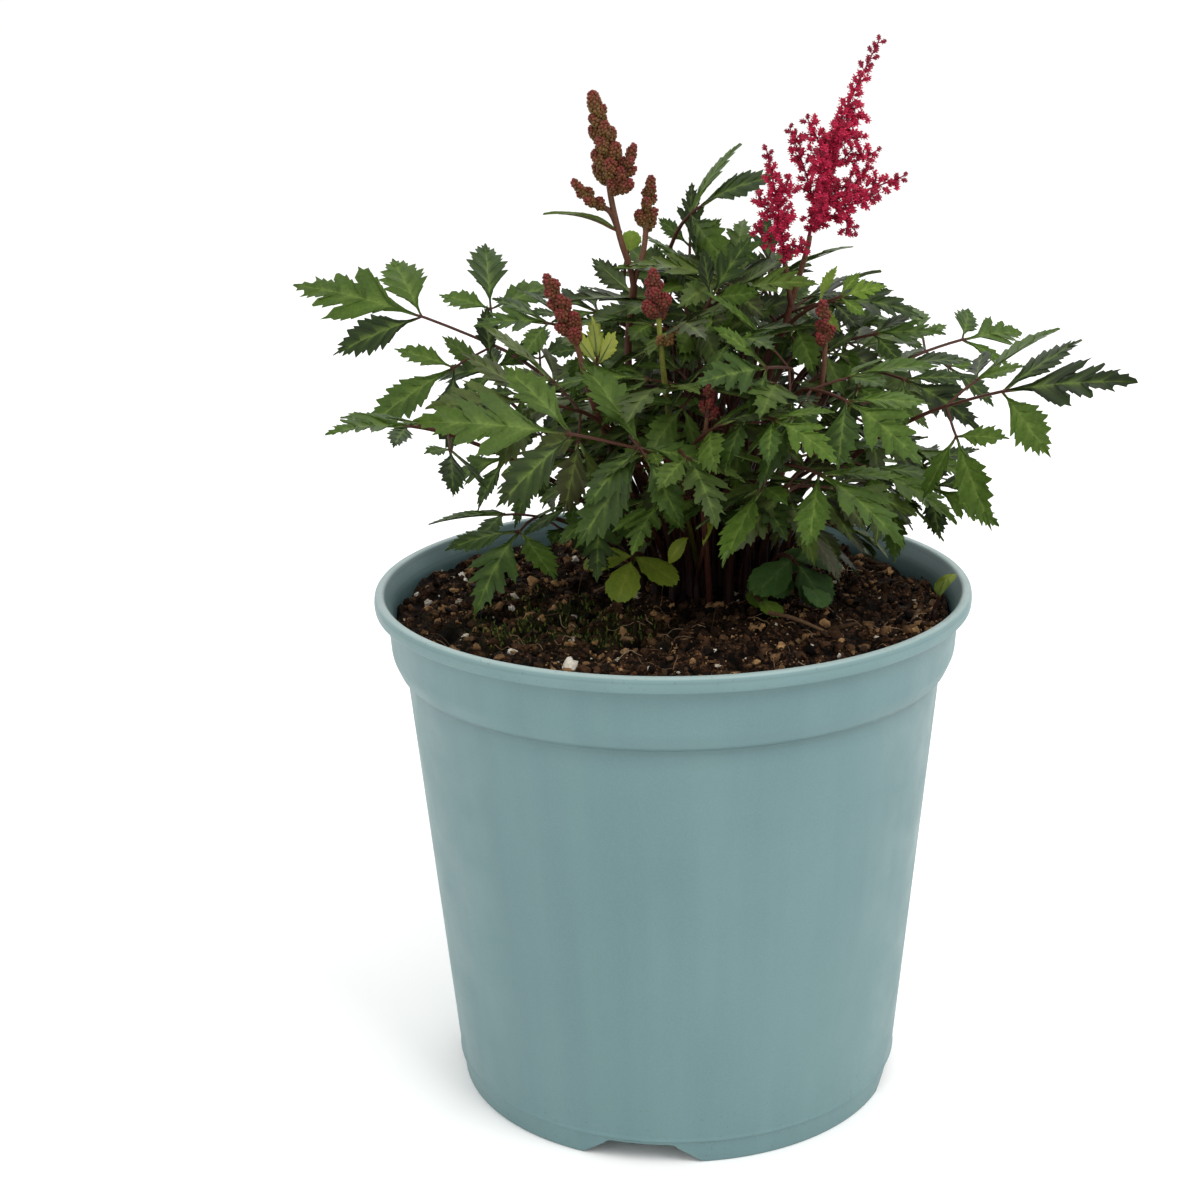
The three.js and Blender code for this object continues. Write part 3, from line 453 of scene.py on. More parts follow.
# Loose grains, each kind with its roughness, its dark, middle and pale shades, and how finely it is mottled.
GRAINS = dict(
    crumbs=(0.9, "#060403", "#4e3624", "#a98359", 0.9),
    perlite=(0.85, "#8b7f6c", "#c4bba9", "#ece8df", 1.4),
    bark=(0.8, "#1a110b", "#47321f", "#8f7352", 0.8),
    fibres=(0.8, "#3a2a1c", "#7c6147", "#b7a081", 1.5),
    moss=(0.9, "#1e2612", "#3c4a1e", "#6f7d34", 1.2),
)


def grain_finish(name):
    """Loose grains: each has its own shade between dark and pale, with a mottled surface."""
    roughness, dark, middle, pale, mottle = GRAINS[name]
    f = Finish(name, roughness, Specular_IOR_Level=0.1)
    shade = f.ramp(f.tint()[0], (0.0, dark), (0.5, middle), (1.0, pale))
    spots = f.noise(mottle, 6, roughness=0.7)
    f.colour(f.mix(f.ramp(spots, (0.42, 0.5), (0.6, 0.0)), shade, dark))
    f.bump(spots, 0.8, 0.5)
    return f.material


def leaf_finish(name, deep, middle, bright, vein, under):
    """Leaf blades: darker between the veins, paler along them and beneath. The tint holds the leaflet's own
    shade, how near a vein is, which face this is, and how bronzed the leaf is."""
    f = Finish(name, 0.5, Specular_IOR_Level=0.16, Subsurface_Weight=0.06)
    f.shader.inputs["Subsurface Radius"].default_value = (0.001, 0.002, 0.0004)
    shade, near_vein, beneath, bronze = f.tint()
    cloud = f.noise(0.09, 4)
    mixed = f.math("ADD", f.math("MULTIPLY", shade, 0.6), f.math("MULTIPLY", cloud, 0.45))
    colour = f.ramp(mixed, (0.25, deep), (0.5, middle), (0.85, bright))
    colour = f.wash(colour, f.math("POWER", near_vein, 14.0), 0.5, vein)
    colour = f.wash(colour, f.math("POWER", near_vein, 3.0), 0.12, vein)
    fine = f.noise(0.9, 5, roughness=0.65)
    colour = f.mix(f.ramp(fine, (0.4, 0.28), (0.6, 0.0)), colour, deep)
    colour = f.wash(colour, bronze, 0.55, "#5a4a30")
    f.colour(f.wash(colour, beneath, 0.75, under))
    f.rough(f.ramp(cloud, (0.3, 0.42), (0.7, 0.62)))
    f.bump(f.mix(0.5, fine, f.noise(0.35, 3)), 0.35, 0.35)
    return f.material


def stalk_finish(name, foot, middle, top):
    """Stalks: the tint's first number runs from the foot, 0, to the top, 1. The foot's colour is partly the
    stalks' own dark red-brown and partly painted shade under the crown.
    """
    f = Finish(name, 0.55, Specular_IOR_Level=0.2)
    along = f.tint()[0]
    streaks = f.noise(0.9, 4, (1, 1, 0.12))
    moved = f.math("ADD", along, f.math("MULTIPLY", f.math("SUBTRACT", streaks, 0.5), 0.35))
    colour = f.ramp(moved, (0.05, foot), (0.45, middle), (0.72, middle), (0.95, top))
    f.colour(f.mix(f.ramp(f.noise(2.2, 4), (0.42, 0.35), (0.6, 0.0)), colour, foot))
    f.bump(streaks, 0.4, 0.3)
    return f.material


def bud_finish():
    """Closed buds: dark red to olive, each with its own shade, paler at the tip."""
    f = Finish("closed_buds", 0.55, Specular_IOR_Level=0.2)
    shade, tip, olive, _ = f.tint()
    colour = f.ramp(shade, (0.0, "#280c0d"), (0.45, "#53181a"), (0.8, "#6f2424"), (1.0, "#863633"))
    f.colour(f.wash(f.wash(colour, olive, 0.75, "#67552a"), tip, 0.14, "#97504a"))
    f.bump(f.noise(1.6, 4), 0.5, 0.3)
    return f.material


def petal_finish():
    """Florets: crimson petals that pale to pink at the tip, and dark closed florets at the ends."""
    f = Finish("crimson_petals", 0.6, Specular_IOR_Level=0.25, Subsurface_Weight=0.1)
    f.shader.inputs["Subsurface Radius"].default_value = (0.002, 0.0006, 0.0006)
    shade, tip, closed, _ = f.tint()
    colour = f.ramp(shade, (0.0, "#7d0f2e"), (0.5, "#b41a42"), (1.0, "#d93058"))
    f.colour(f.wash(f.wash(colour, tip, 0.2, "#cf3058"), closed, 0.65, "#5e0f22"))
    f.bump(f.noise(2.0, 3), 0.3, 0.2)
    return f.material


# ---- pot ----
def wall_radius(z):
    return WALL_FOOT_R + (WALL_TOP_R - WALL_FOOT_R) * (z - FOOT_HEIGHT) / (COLLAR_FOOT - FOOT_HEIGHT)


def rounded(corners):
    """A closed profile with its corners cut round. A corner is its radius from the axis, its height and how
    far the rounding reaches."""
    profile = []
    for k, (r, z, reach) in enumerate(corners):
        here = np.array([r, z])
        before = np.array(corners[k - 1][:2])
        after = np.array(corners[(k + 1) % len(corners)][:2])
        if reach == 0:
            profile.append(here)
            continue
        a = here + unit(before - here) * reach
        b = here + unit(after - here) * reach
        for t in (0, 0.25, 0.5, 0.75, 1):
            profile.append((1 - t) ** 2 * a + 2 * t * (1 - t) * here + t * t * b)
    return profile


CAP_R = 8  # the floor's middle is closed by a cap on each face
POT_SIDES = 180
POT_SHARP = 40
NOTCH = [(-21, -1), (-11.5, 5.4), (-10.8, 6.2), (-9.5, 6.6), (9.5, 6.6), (10.8, 6.2), (11.5, 5.4), (21, -1)]


def make_pot():
    corners = [
        (FOOT_R - 0.1, 0, 0.7), (WALL_FOOT_R - 0.5, FOOT_HEIGHT - 0.6, 0.3),
        (WALL_FOOT_R + 0.35, FOOT_HEIGHT, 0.3), (WALL_FOOT_R + 0.1, FOOT_HEIGHT + 1.2, 0.3),
        (wall_radius(COLLAR_FOOT - 1), COLLAR_FOOT - 1, 0.9), (COLLAR_R - 3.2, COLLAR_FOOT + 0.2, 0.5),
        (COLLAR_R - 1.1, COLLAR_FOOT + 5, 1.6), (COLLAR_R, POT_HEIGHT - LIP_HEIGHT - 0.4, 0.5),
        (RIM_R - 0.4, POT_HEIGHT - LIP_HEIGHT, 0.6), (RIM_R, POT_HEIGHT - 2.4, 1.4),
        (RIM_R - 0.5, POT_HEIGHT, 1), (RIM_R - 3.1, POT_HEIGHT, 0.9),
        (COLLAR_R - WALL, POT_HEIGHT - LIP_HEIGHT - 1, 1.5), (COLLAR_R - 3, COLLAR_FOOT + 5, 1.5),
        (wall_radius(COLLAR_FOOT) - WALL, COLLAR_FOOT - 1.5, 0.9),
        (WALL_FOOT_R - WALL, FOOT_HEIGHT + WALL, 1), (CAP_R, FOOT_HEIGHT + WALL, 0), (CAP_R, FOOT_HEIGHT, 0),
        (FOOT_R - 2.6, FOOT_HEIGHT, 0.6), (FOOT_R - 3, 0, 0.5),
    ]
    profile = rounded(corners)
    cap = next(k for k, p in enumerate(profile) if p[0] == CAP_R)
    angle = np.arange(POT_SIDES) * 2 * math.pi / POT_SIDES
    circle = np.stack([np.cos(angle), np.sin(angle), 0 * angle], axis=1)
    points = [r * circle + z * UP for r, z in profile]
    first = [k * POT_SIDES for k in range(len(profile))]
    faces = []
    for k, here in enumerate(first):
        if k != cap:
            faces += band(here, first[(k + 1) % len(first)], POT_SIDES)
    faces.append(tuple(range(first[cap], first[cap + 1])))
    faces.append(tuple(range(first[cap + 1], first[cap + 2]))[::-1])
    piece = Piece()
    piece.add(np.vstack(points), faces)
    pot = piece.build("pot_moulded", [pot_finish()], "pot", "pot", sharp=POT_SHARP)

    cuts = Piece()
    for i in range(4):
        turn = NOTCH_TURN + i * math.pi / 2
        out = level_way(turn)
        side = vec(-out[1], out[0], 0)
        ends = [[out * far + side * s + UP * h for s, h in NOTCH] for far in (FOOT_R - 18, FOOT_R + 12)]
        n = len(NOTCH)
        cuts.add(np.vstack(ends), band(n, 0, n) + [tuple(range(n)), tuple(range(n, 2 * n))[::-1]])
        hole = level_way(turn + math.pi / 4) * DRAIN_CIRCLE_R
        cuts.add(*tube(np.array([hole + UP * z for z in (5, 7, 9, 12)]), DRAIN_R, 32))
    cutter = add_object("cuts", cuts.mesh("cuts"))
    cut = pot.modifiers.new("cut", "BOOLEAN")
    cut.object = cutter
    cut.operation = "DIFFERENCE"
    cut.solver = "EXACT"
    shaped = bpy.data.meshes.new_from_object(pot.evaluated_get(bpy.context.evaluated_depsgraph_get()))
    pot.modifiers.clear()
    pot.data = shaped
    bpy.data.objects.remove(cutter)
    shade_smooth(shaped, POT_SHARP)


# ---- compost ----
def moss_at(x, y):
    """How mossy the compost is: a patch to the left of the crown."""
    patch = math.exp(-(((x + 36) / 28) ** 2 + ((y + 14) / 22) ** 2))
    return max(0.0, min(1.0, 1.6 * patch * (0.6 + noise.noise(Vector((x * 0.12, y * 0.12, 3))))))


def surface_at(x, y):
    """The compost's surface with its clods, and how deep between them a place lies, from 0 to 1."""
    clods = noise.fractal(Vector((x * 0.055, y * 0.055, 1)), 0.8, 2.2, 5)
    clumps = noise.fractal(Vector((x * 0.24, y * 0.24, 7)), 0.7, 2.1, 3)
    depth = 0.3 - 0.8 * clods - 1.4 * clumps
    return float(soil_height(x, y)) + 2.3 * clods + 2.0 * clumps, max(0.0, min(1.0, depth))


def on_surface(x, y, above=0.0):
    return vec(x, y, surface_at(x, y)[0] + above)


def make_compost():
    turns, rings = 260, 96
    edge = COLLAR_R - WALL - 0.7
    angle = np.arange(turns) * 2 * math.pi / turns
    points, tints = [], []
    for k in range(1, rings + 1):
        for a in angle:
            x, y = edge * k / rings * math.cos(a), edge * k / rings * math.sin(a)
            rise, depth = surface_at(x, y)
            points.append((x, y, rise if k < rings else rise - 1.5))
            # The depth between the clods sets the compost's painted shade.
            tints.append((depth, moss_at(x, y), 0, 0))
    sides = [(COLLAR_R - 4.5, COLLAR_FOOT + 5), (wall_radius(COLLAR_FOOT) - WALL - 1.5, COLLAR_FOOT - 3)]
    sides.append((WALL_FOOT_R - WALL - 1, FOOT_HEIGHT + WALL + 0.5))
    for r, z in sides:
        for a in angle:
            points.append((r * math.cos(a), r * math.sin(a), z))
            tints.append((0, 0, 0, 0))
    total = rings + len(sides)
    faces = []
    for k in range(total - 1):
        for i in range(turns):
            j = (i + 1) % turns
            faces.append((k * turns + i, (k + 1) * turns + i, (k + 1) * turns + j, k * turns + j))
    faces.append(tuple(range(turns)))
    faces.append(tuple((total - 1) * turns + i for i in range(turns))[::-1])
    piece = Piece()
    piece.add(np.array(points, dtype=float), faces, tints)
    piece.build("compost_surface", [soil_finish()], "soil", "compost", sharp=80)


# What is strewn on the compost: how many of each, and the number that its chances start from.
CRUMBS, PERLITE, BARK, FIBRES, MOSS = (11500, 100), (150, 9000), (150, 14000), (100, 21000), (9000, 40000)
STREWN_R = 86.5


def scattered(count, seed):
    """Places on the compost, each with a number of its own."""
    for k in range(count):
        r, a = STREWN_R * math.sqrt(chance(seed + 3 * k)), 2 * math.pi * chance(seed + 3 * k + 1)
        yield seed + 7 * k, on_surface(r * math.cos(a), r * math.sin(a))


def build_grains(piece, name, sharp=50):
    piece.build("compost_" + name, [grain_finish(name)], "soil", sharp=sharp)


def make_crumbs():
    """Crumbs lie on the clods and seldom in the hollows, where they are painted darker as shade."""
    piece = Piece()
    for seed, at in scattered(*CRUMBS):
        depth = surface_at(at[0], at[1])[1]
        if depth > 0.3 + 0.45 * chance(seed + 8):
            continue
        size = 0.38 + 1.6 * chance(seed + 4) ** 7
        radii = size * vec(1, 0.6 + 0.4 * chance(seed + 5), 0.5 + 0.3 * chance(seed + 6))
        grain = lump(at + UP * 0.15 * size, radii, seed, 0.9, BALL if size > 1.2 else BEAD)
        # Painted shade: a crumb is darker the deeper it lies between the clods.
        piece.add(*grain, (chance(seed + 9) ** 1.5 * max(0.0, 1.1 - 1.5 * depth), 0, 0, 0))
    build_grains(piece, "crumbs", sharp=80)


def make_perlite():
    piece = Piece()
    for seed, at in scattered(*PERLITE):
        size = 0.35 + 1.3 * chance(seed + 4) ** 4
        radii = size * vec(1 + 1.2 * chance(seed + 6) ** 4, 0.85, 0.7)
        piece.add(*lump(at + UP * 0.5 * size, radii, seed, 0.8), (0.3 + 0.7 * chance(seed + 5), 0, 0, 0))
    piece.add(*lump(on_surface(-30, -66, 1), vec(3.4, 2.1, 1.7), 7, 0.5), (0.7, 0, 0, 0))
    build_grains(piece, "perlite")


def make_bark():
    piece = Piece()
    points, faces = BALL
    boxy = np.sign(points) * np.abs(points) ** 0.6
    for seed, at in scattered(*BARK):
        long = 1.5 + 3.5 * chance(seed + 4) ** 3
        radii = vec(long, 0.6 + 0.7 * chance(seed + 5), 0.4 + 0.3 * chance(seed + 6))
        tilt = spread(seed + 8, 0.45)
        axis = level_way(2 * math.pi * chance(seed + 7)) * math.cos(tilt) + UP * math.sin(tilt)
        side = unit(np.cross(UP, axis))
        dents = np.array([noise.noise(Vector(p * 2 + seed)) for p in points])
        shaped = (boxy * radii * (1 + 0.35 * dents)[:, None]) @ np.array([axis, side, np.cross(axis, side)])
        piece.add(at + UP * 0.5 + shaped, faces, (chance(seed + 9), 0, 0, 0))
    build_grains(piece, "bark", sharp=35)


def make_fibres():
    """Fine roots that wander over the compost, and one twig."""
    piece = Piece()
    for seed, at in scattered(*FIBRES):
        heading, steps = 2 * math.pi * chance(seed + 3), [at + UP * 0.4]
        for k in range(5):
            heading += spread(seed + 10 + k, 0.3)
            x, y = steps[-1][:2] + (1.5 + 2.2 * chance(seed + 4)) * level_way(heading)[:2]
            if math.hypot(x, y) > STREWN_R + 0.5:
                break
            steps.append(vec(x, y, surface_at(x, y)[0] + 0.5 + 1.3 * chance(seed + 20 + k)))
        if len(steps) > 3:
            path = curve_through(steps, 14)
            piece.add(*tube(path, 0.08 + 0.1 * chance(seed + 5), 4), (chance(seed + 6), 0, 0, 0))
    twig = [on_surface(x, y, above) for x, y, above in ((30, -23, 4), (37, -31, 2.2), (47, -39, 1.4))]
    piece.add(*tube(curve_through(twig, 16), np.linspace(0.75, 0.45, 16), 7), (0.35, 0, 0, 0))
    build_grains(piece, "fibres")


def make_moss():
    piece = Piece()
    for seed, at in scattered(*MOSS):
        if moss_at(at[0], at[1]) < 0.25 + 0.35 * chance(seed + 4):
            continue
        tip = at + unit(vec(spread(seed + 5, 0.5), spread(seed + 6, 0.5), 1)) * (0.9 + 0.9 * chance(seed + 7))
        shoot = np.array([at - UP * 0.3, (at + tip) / 2, tip])
        piece.add(*tube(shoot, [0.32, 0.3, 0.08], 4), (chance(seed + 8), 0, 0, 0))
    build_grains(piece, "moss")


# ---- leaves ----
# The edge of a leaflet on one side of its rib, without its small teeth, as parts of the leaflet's length: how
# far along, how far out, and 1 at the tip of a lobe, where a side vein ends, or 0 in the bay between two.
LOBED = dict(
    edge=[(0, 0, 0), (0.12, 0.008, 0), (0.25, 0.035, 0), (0.35, 0.085, 0.2), (0.44, 0.155, 0.5),
          (0.52, 0.2, 0.8), (0.6, 0.215, 1), (0.565, 0.155, 0.3), (0.51, 0.1, 0.1), (0.46, 0.06, 0),
          (0.56, 0.085, 0.3), (0.65, 0.13, 0.7), (0.74, 0.145, 1), (0.7, 0.095, 0.2), (0.67, 0.06, 0),
          (0.76, 0.075, 0.5), (0.86, 0.085, 1), (0.835, 0.045, 0.1), (0.92, 0.035, 0.7), (1, 0, 1)],
    teeth=0.018, count=25,
)
TOOTHED = dict(
    edge=[(0, 0, 0), (0.14, 0.014, 0), (0.28, 0.055, 0), (0.4, 0.125, 0.4), (0.5, 0.19, 1),
          (0.475, 0.135, 0.1), (0.56, 0.17, 0.5), (0.65, 0.2, 1), (0.625, 0.13, 0.1), (0.7, 0.145, 0.5),
          (0.78, 0.155, 1), (0.755, 0.09, 0.1), (0.82, 0.09, 0.5), (0.89, 0.09, 1), (0.87, 0.04, 0.1),
          (1, 0, 1)],
    teeth=0.022, count=18,
)
SMALL = dict(
    edge=[(0, 0, 0), (0.14, 0.018, 0), (0.3, 0.085, 0.2), (0.47, 0.19, 1), (0.45, 0.13, 0.1),
          (0.56, 0.17, 0.4), (0.67, 0.2, 1), (0.645, 0.125, 0.1), (0.74, 0.135, 0.5), (0.83, 0.135, 1),
          (0.805, 0.065, 0.1), (1, 0, 1)],
    teeth=0.024, count=13,
)
ROUND = dict(
    edge=[(0, 0, 0), (0.12, 0.05, 0), (0.26, 0.18, 0), (0.42, 0.31, 1), (0.46, 0.3, 0.2), (0.64, 0.37, 1),
          (0.66, 0.345, 0.2), (0.84, 0.3, 1), (0.84, 0.26, 0.2), (0.97, 0.14, 1), (0.96, 0.1, 0.2),
          (1, 0, 1)],
    teeth=0.02, count=13,
)
FAN = dict(
    edge=[(0, 0, 0), (0.15, 0.05, 0), (0.35, 0.13, 0.3), (0.62, 0.2, 1), (0.58, 0.13, 0.2),
          (0.72, 0.15, 0.6), (0.83, 0.14, 1), (0.8, 0.07, 0.2), (1, 0, 1)],
    teeth=0.02, count=12,
)
NARROW = dict(
    edge=[(0, 0, 0), (0.12, 0.035, 0), (0.3, 0.085, 0), (0.5, 0.11, 0.5), (0.7, 0.1, 1), (0.88, 0.05, 0),
          (1, 0, 1)],
    teeth=0.01, count=12,
)
VEIN_SLANT = 1.35  # how far forward a side vein runs for each part outwards
BLADE = 0.17  # half the blade's thickness
RIB_R = (0.5, 0.1)
LEAF_SAG = 0.25  # how much a leaf hangs to both sides of its line
LEAF_SHARP = 60
# As parts of a leaflet's length: how deep it is pleated between its veins, how far its tip hangs, how high
# its margin waves, and how deep the groove over its rib and the rib below it lie.
PLEAT, HANG, WAVE, GROOVE, RIB_DEPTH = 0.007, 0.05, 0.02, 0.014, 0.016


def margin(kind, seed):
    """One side's toothed edge: x, y, where the vein to each point leaves the rib, and how near one it is."""
    edge = np.array(kind["edge"], dtype=float)
    along = np.concatenate([[0], np.cumsum(np.linalg.norm(np.diff(edge[:, :2], axis=0), axis=1))])
    count = kind["count"]
    at = np.linspace(0, along[-1], 2 * count + 1)
    at[1::2] += 0.6 * (at[1] - at[0])
    at = np.minimum(at, along[-1])
    for corner in along[1:-1]:
        at[np.abs(at - corner).argmin()] = corner
    x, y, vein = (np.interp(at, along, edge[:, k]) for k in range(3))
    heading = np.stack([np.gradient(x), np.gradient(y)], axis=1)
    heading /= np.linalg.norm(heading, axis=1)[:, None] + 1e-9
    fade = np.clip(np.minimum((at - 0.2) / 0.15, (along[-1] - at) / 0.08), 0, 1)
    uneven = np.array([1 + spread(seed + k, 0.4) for k in range(len(at))])
    rise = np.where(np.arange(len(at)) % 2, kind["teeth"], 0) * uneven * fade
    x = x + rise * (0.7 * heading[:, 0] - heading[:, 1])
    y = np.maximum(0, y + rise * (0.7 * heading[:, 1] + heading[:, 0]))
    x[0] = y[0] = y[-1] = 0
    x[-1] = 1
    root = np.maximum.accumulate(np.clip(x - VEIN_SLANT * y, 0, 1)) + np.linspace(0, 1e-3, len(at))
    return x, y, root / root[-1], vein


def blade(piece, put, limb, seed, tone):
    """A leaflet's blade. `put` takes places on the flat leaflet and heights above it, and gives points."""
    length, width = limb["length"], limb["width"]
    sides = [margin(limb["outline"], seed), margin(limb["outline"], seed + 500)]
    rows = len(sides[0][0])
    root = (sides[0][2] + sides[1][2]) / 2
    columns = [-t for t in reversed(piece.across)] + [0] + list(piece.across)
    wave = 2 * math.pi * chance(seed + 7)
    flat, lift, veins = [], [], []
    for c in columns:
        x, y, _, vein = sides[0] if c >= 0 else sides[1]
        t = abs(c)
        s = root + (x - root) * t
        pleat = PLEAT * length * (0.5 - vein) * math.sin(math.pi * min(0.8, t))
        hang = -HANG * length * s**2 + WAVE * length * t * t * np.sin(6 * s + wave + (2 if c < 0 else 0))
        groove = -GROOVE * length if t == 0 else 0
        flat.append(np.stack([s * length, y * c * width * length], axis=1))
        lift.append((pleat + groove + hang) * np.minimum(1, s * 4 + 0.1))
        veins.append(np.ones(rows) if t == 0 else vein * (1 - 0.4 * t))
    n = len(columns)
    flat, lift, veins = np.array(flat), np.array(lift), np.array(veins)
    inner = range(1, rows - 1)
    spots = [(0, n // 2, 0), (0, n // 2, rows - 1)] + [(0, c, k) for c in range(n) for k in inner]
    spots += [(1, c, k) for c in range(1, n - 1) for k in inner]
    face, c, k = np.array(spots).T
    ids = np.zeros((2, n, rows), dtype=int)
    ids[face, c, k] = range(len(spots))
    ids[1, [0, -1]] = ids[0, [0, -1]]
    ids[:, :, 0], ids[:, :, -1] = 0, 1
    is_inner = (c > 0) & (c < n - 1) & (k > 0) & (k < rows - 1)
    heights = lift[c, k] + np.where(is_inner, BLADE * (1 - 2 * face), 0)
    tints = np.stack([0 * c + chance(seed), veins[c, k], face, 0 * c + tone], axis=1)
    faces = []
    for is_low, lines in enumerate(ids.tolist()):
        for a, b in zip(lines, lines[1:]):
            for k0 in range(rows - 1):
                corners = list(dict.fromkeys([a[k0], a[k0 + 1], b[k0 + 1], b[k0]]))
                faces.append(tuple(corners[::-1] if is_low else corners))
    piece.add(put(flat[c, k], heights), faces, tints, piece.blade)


def grow(piece, place, limb, seed, tone, depth=0):
    """A limb of a leaf: its stalk with the limbs on it, and its leaflet."""
    limb = dict(root=np.zeros(2), heading=0.0, height=0.0) | limb
    forward = level_way(limb["heading"])[:2]
    side = vec(-forward[1], forward[0])

    def put(flat, heights):
        s, w = flat[:, 0] + limb["stalk"], flat[:, 1]
        at = limb["root"] + s[:, None] * forward + w[:, None] * side
        lift = limb["height"] + limb["lift"] * s + limb["fold"] * np.abs(w) + limb["twist"] * w
        return place(at, lift + heights)

    for k, pair in enumerate(limb["pairs"]):
        root = limb["root"] + forward * pair["at"]
        height = limb["height"] + limb["lift"] * pair["at"]
        for hand, branch in ((1, pair["left"]), (-1, pair["right"])):
            turned = dict(branch, root=root, height=height, heading=limb["heading"] + hand * pair["turn"])
            grow(piece, place, turned, seed + 1000 * (2 * k + (hand > 0) + 1), tone, depth + 1)
    length, stalk = limb["length"], limb["stalk"]
    blade(piece, put, limb, seed, tone)
    s = np.linspace(-stalk, 0.8 * length, 9 if piece.is_fine else 5)
    hang = np.where(s > 0, -HANG * length * (s / length) ** 2 - RIB_DEPTH * length, 0)
    rib = put(np.stack([s, 0 * s], axis=1), hang - 0.1)
    share = np.clip(s / (0.8 * length), 0, 1)
    radii = RIB_R[0] * (1 - 0.12 * depth) + (RIB_R[1] - RIB_R[0]) * share
    piece.add(*tube(rib, radii, 5), ring_tints(0.6 + 0.4 * np.minimum(1, 5 * share), 5), piece.stalk)


def frond_limbs(size, seed, is_sprig):
    """The limbs of a leaf twice divided in threes. They draw on chance in the same order as the solids."""
    draw = iter(range(seed, seed + 1000))

    def limb(stalk, length, outline, pairs=(), lift=0.0):
        return dict(
            stalk=stalk,
            length=length * (1 + spread(next(draw), 0.08)),
            width=1 + spread(next(draw), 0.12),
            lift=lift + spread(next(draw), 0.12),
            fold=0.1 + spread(next(draw), 0.12),
            twist=spread(next(draw), 0.16),
            outline=outline,
            pairs=pairs,
        )

    def pair(at, turn, left, right):
        return dict(at=at, turn=math.radians(turn + spread(next(draw), 3)), left=left, right=right)

    def leaflet(length, outline):
        return limb(0, length * size, outline, (), -0.1)

    def group(left, right):
        at = 0.2 * size
        sides = pair(at, 54, leaflet(left, SMALL), leaflet(right, SMALL))
        return limb(at, 0.47 * size, TOOTHED, [sides], -0.1)

    end = 0.34 * size
    upper = pair(end, 46, leaflet(0.43, TOOTHED), leaflet(0.43, TOOTHED))
    if is_sprig:
        lower = pair(0, 62, leaflet(0.55, TOOTHED), leaflet(0.55, TOOTHED))
    else:
        lower = pair(0, 62, group(0.36, 0.28), group(0.28, 0.36))
    return dict(limb(end, size - end, LOBED, [lower, upper]), lift=0)


def leaflet_limb(length, outline, width=1, fold=0.06, twist=0):
    """A limb that is a single leaflet."""
    return dict(
        stalk=0, length=length, width=width, lift=0, fold=fold, twist=twist, outline=outline, pairs=[]
    )


def trefoil_limbs(size, seed, outline, turn):
    """The limbs of a leaf of three leaflets."""
    shares = (0.88, 0.9, 0.9)
    middle, left, right = (
        leaflet_limb(share * size, outline, twist=spread(seed + n, 0.15)) for n, share in enumerate(shares)
    )
    sides = dict(at=0, turn=math.radians(turn), left=left, right=right)
    return dict(middle, stalk=0.12 * size, pairs=[sides])


TREFOILS = dict(simple=(TOOTHED, 62), round=(ROUND, 74), yellow=(ROUND, 74), young=(FAN, 34))


def leaf_limbs(kind, size, seed):
    if kind in TREFOILS:
        return trefoil_limbs(size, seed, *TREFOILS[kind])
    return frond_limbs(size, seed, kind == "sprig")


def arch_place(hub, tip, roll, droop):
    """Where a flat leaf's points go, as in the solids: an arch from the hub to the tip."""
    chord = tip - hub
    droop = math.radians(droop)
    size = np.linalg.norm(chord) * droop / 2 / math.sin(droop / 2)
    chord = unit(chord)
    level = unit(vec(-chord[1], chord[0], 0))
    upright = np.cross(chord, level)
    roll = math.radians(roll)
    lateral = level * math.cos(roll) + upright * math.sin(roll)
    up = upright * math.cos(roll) - level * math.sin(roll)
    forward = chord * math.cos(droop / 2) + up * math.sin(droop / 2)
    normal = up * math.cos(droop / 2) - chord * math.sin(droop / 2)
    radius = size / droop

    def place(flat, height):
        x, y = flat[:, 0], flat[:, 1]
        turn = np.maximum(x, 0) / radius
        h = height - LEAF_SAG * y * y / size
        along = radius * np.sin(turn) + np.minimum(x, 0) + h * np.sin(turn)
        above = radius * (np.cos(turn) - 1) + h * np.cos(turn)
        return hub + along[:, None] * forward + above[:, None] * normal + y[:, None] * lateral

    return size, place, forward


def settled(name, leaf):
    """The hub and the tip of a leaf after its solid was turned about the crown and lifted clear of its
    neighbours."""
    solid = np.array([v.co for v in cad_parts[name].data.vertices]) / MM
    marks = vec(RACHIS_R, -RACHIS_R)
    found = []
    for turn in TURNS:
        c, s = math.cos(math.radians(turn)), math.sin(math.radians(turn))
        for lift in LIFTS:
            ends = []
            for x, y, z in (leaf["hub"], leaf["tip"]):
                dx, dy = x - CROWN[0], y - CROWN[1]
                ends.append(vec(CROWN[0] + c * dx - s * dy, CROWN[1] + s * dx + c * dy, z + lift))
            place = arch_place(*ends, leaf["roll"], leaf["droop"])[1]
            miss = sum(np.linalg.norm(solid - mark, axis=1).min() for mark in place(np.zeros((2, 2)), marks))
            found.append((miss, turn, lift, ends))
    return min(found, key=lambda f: f[:3])[3]


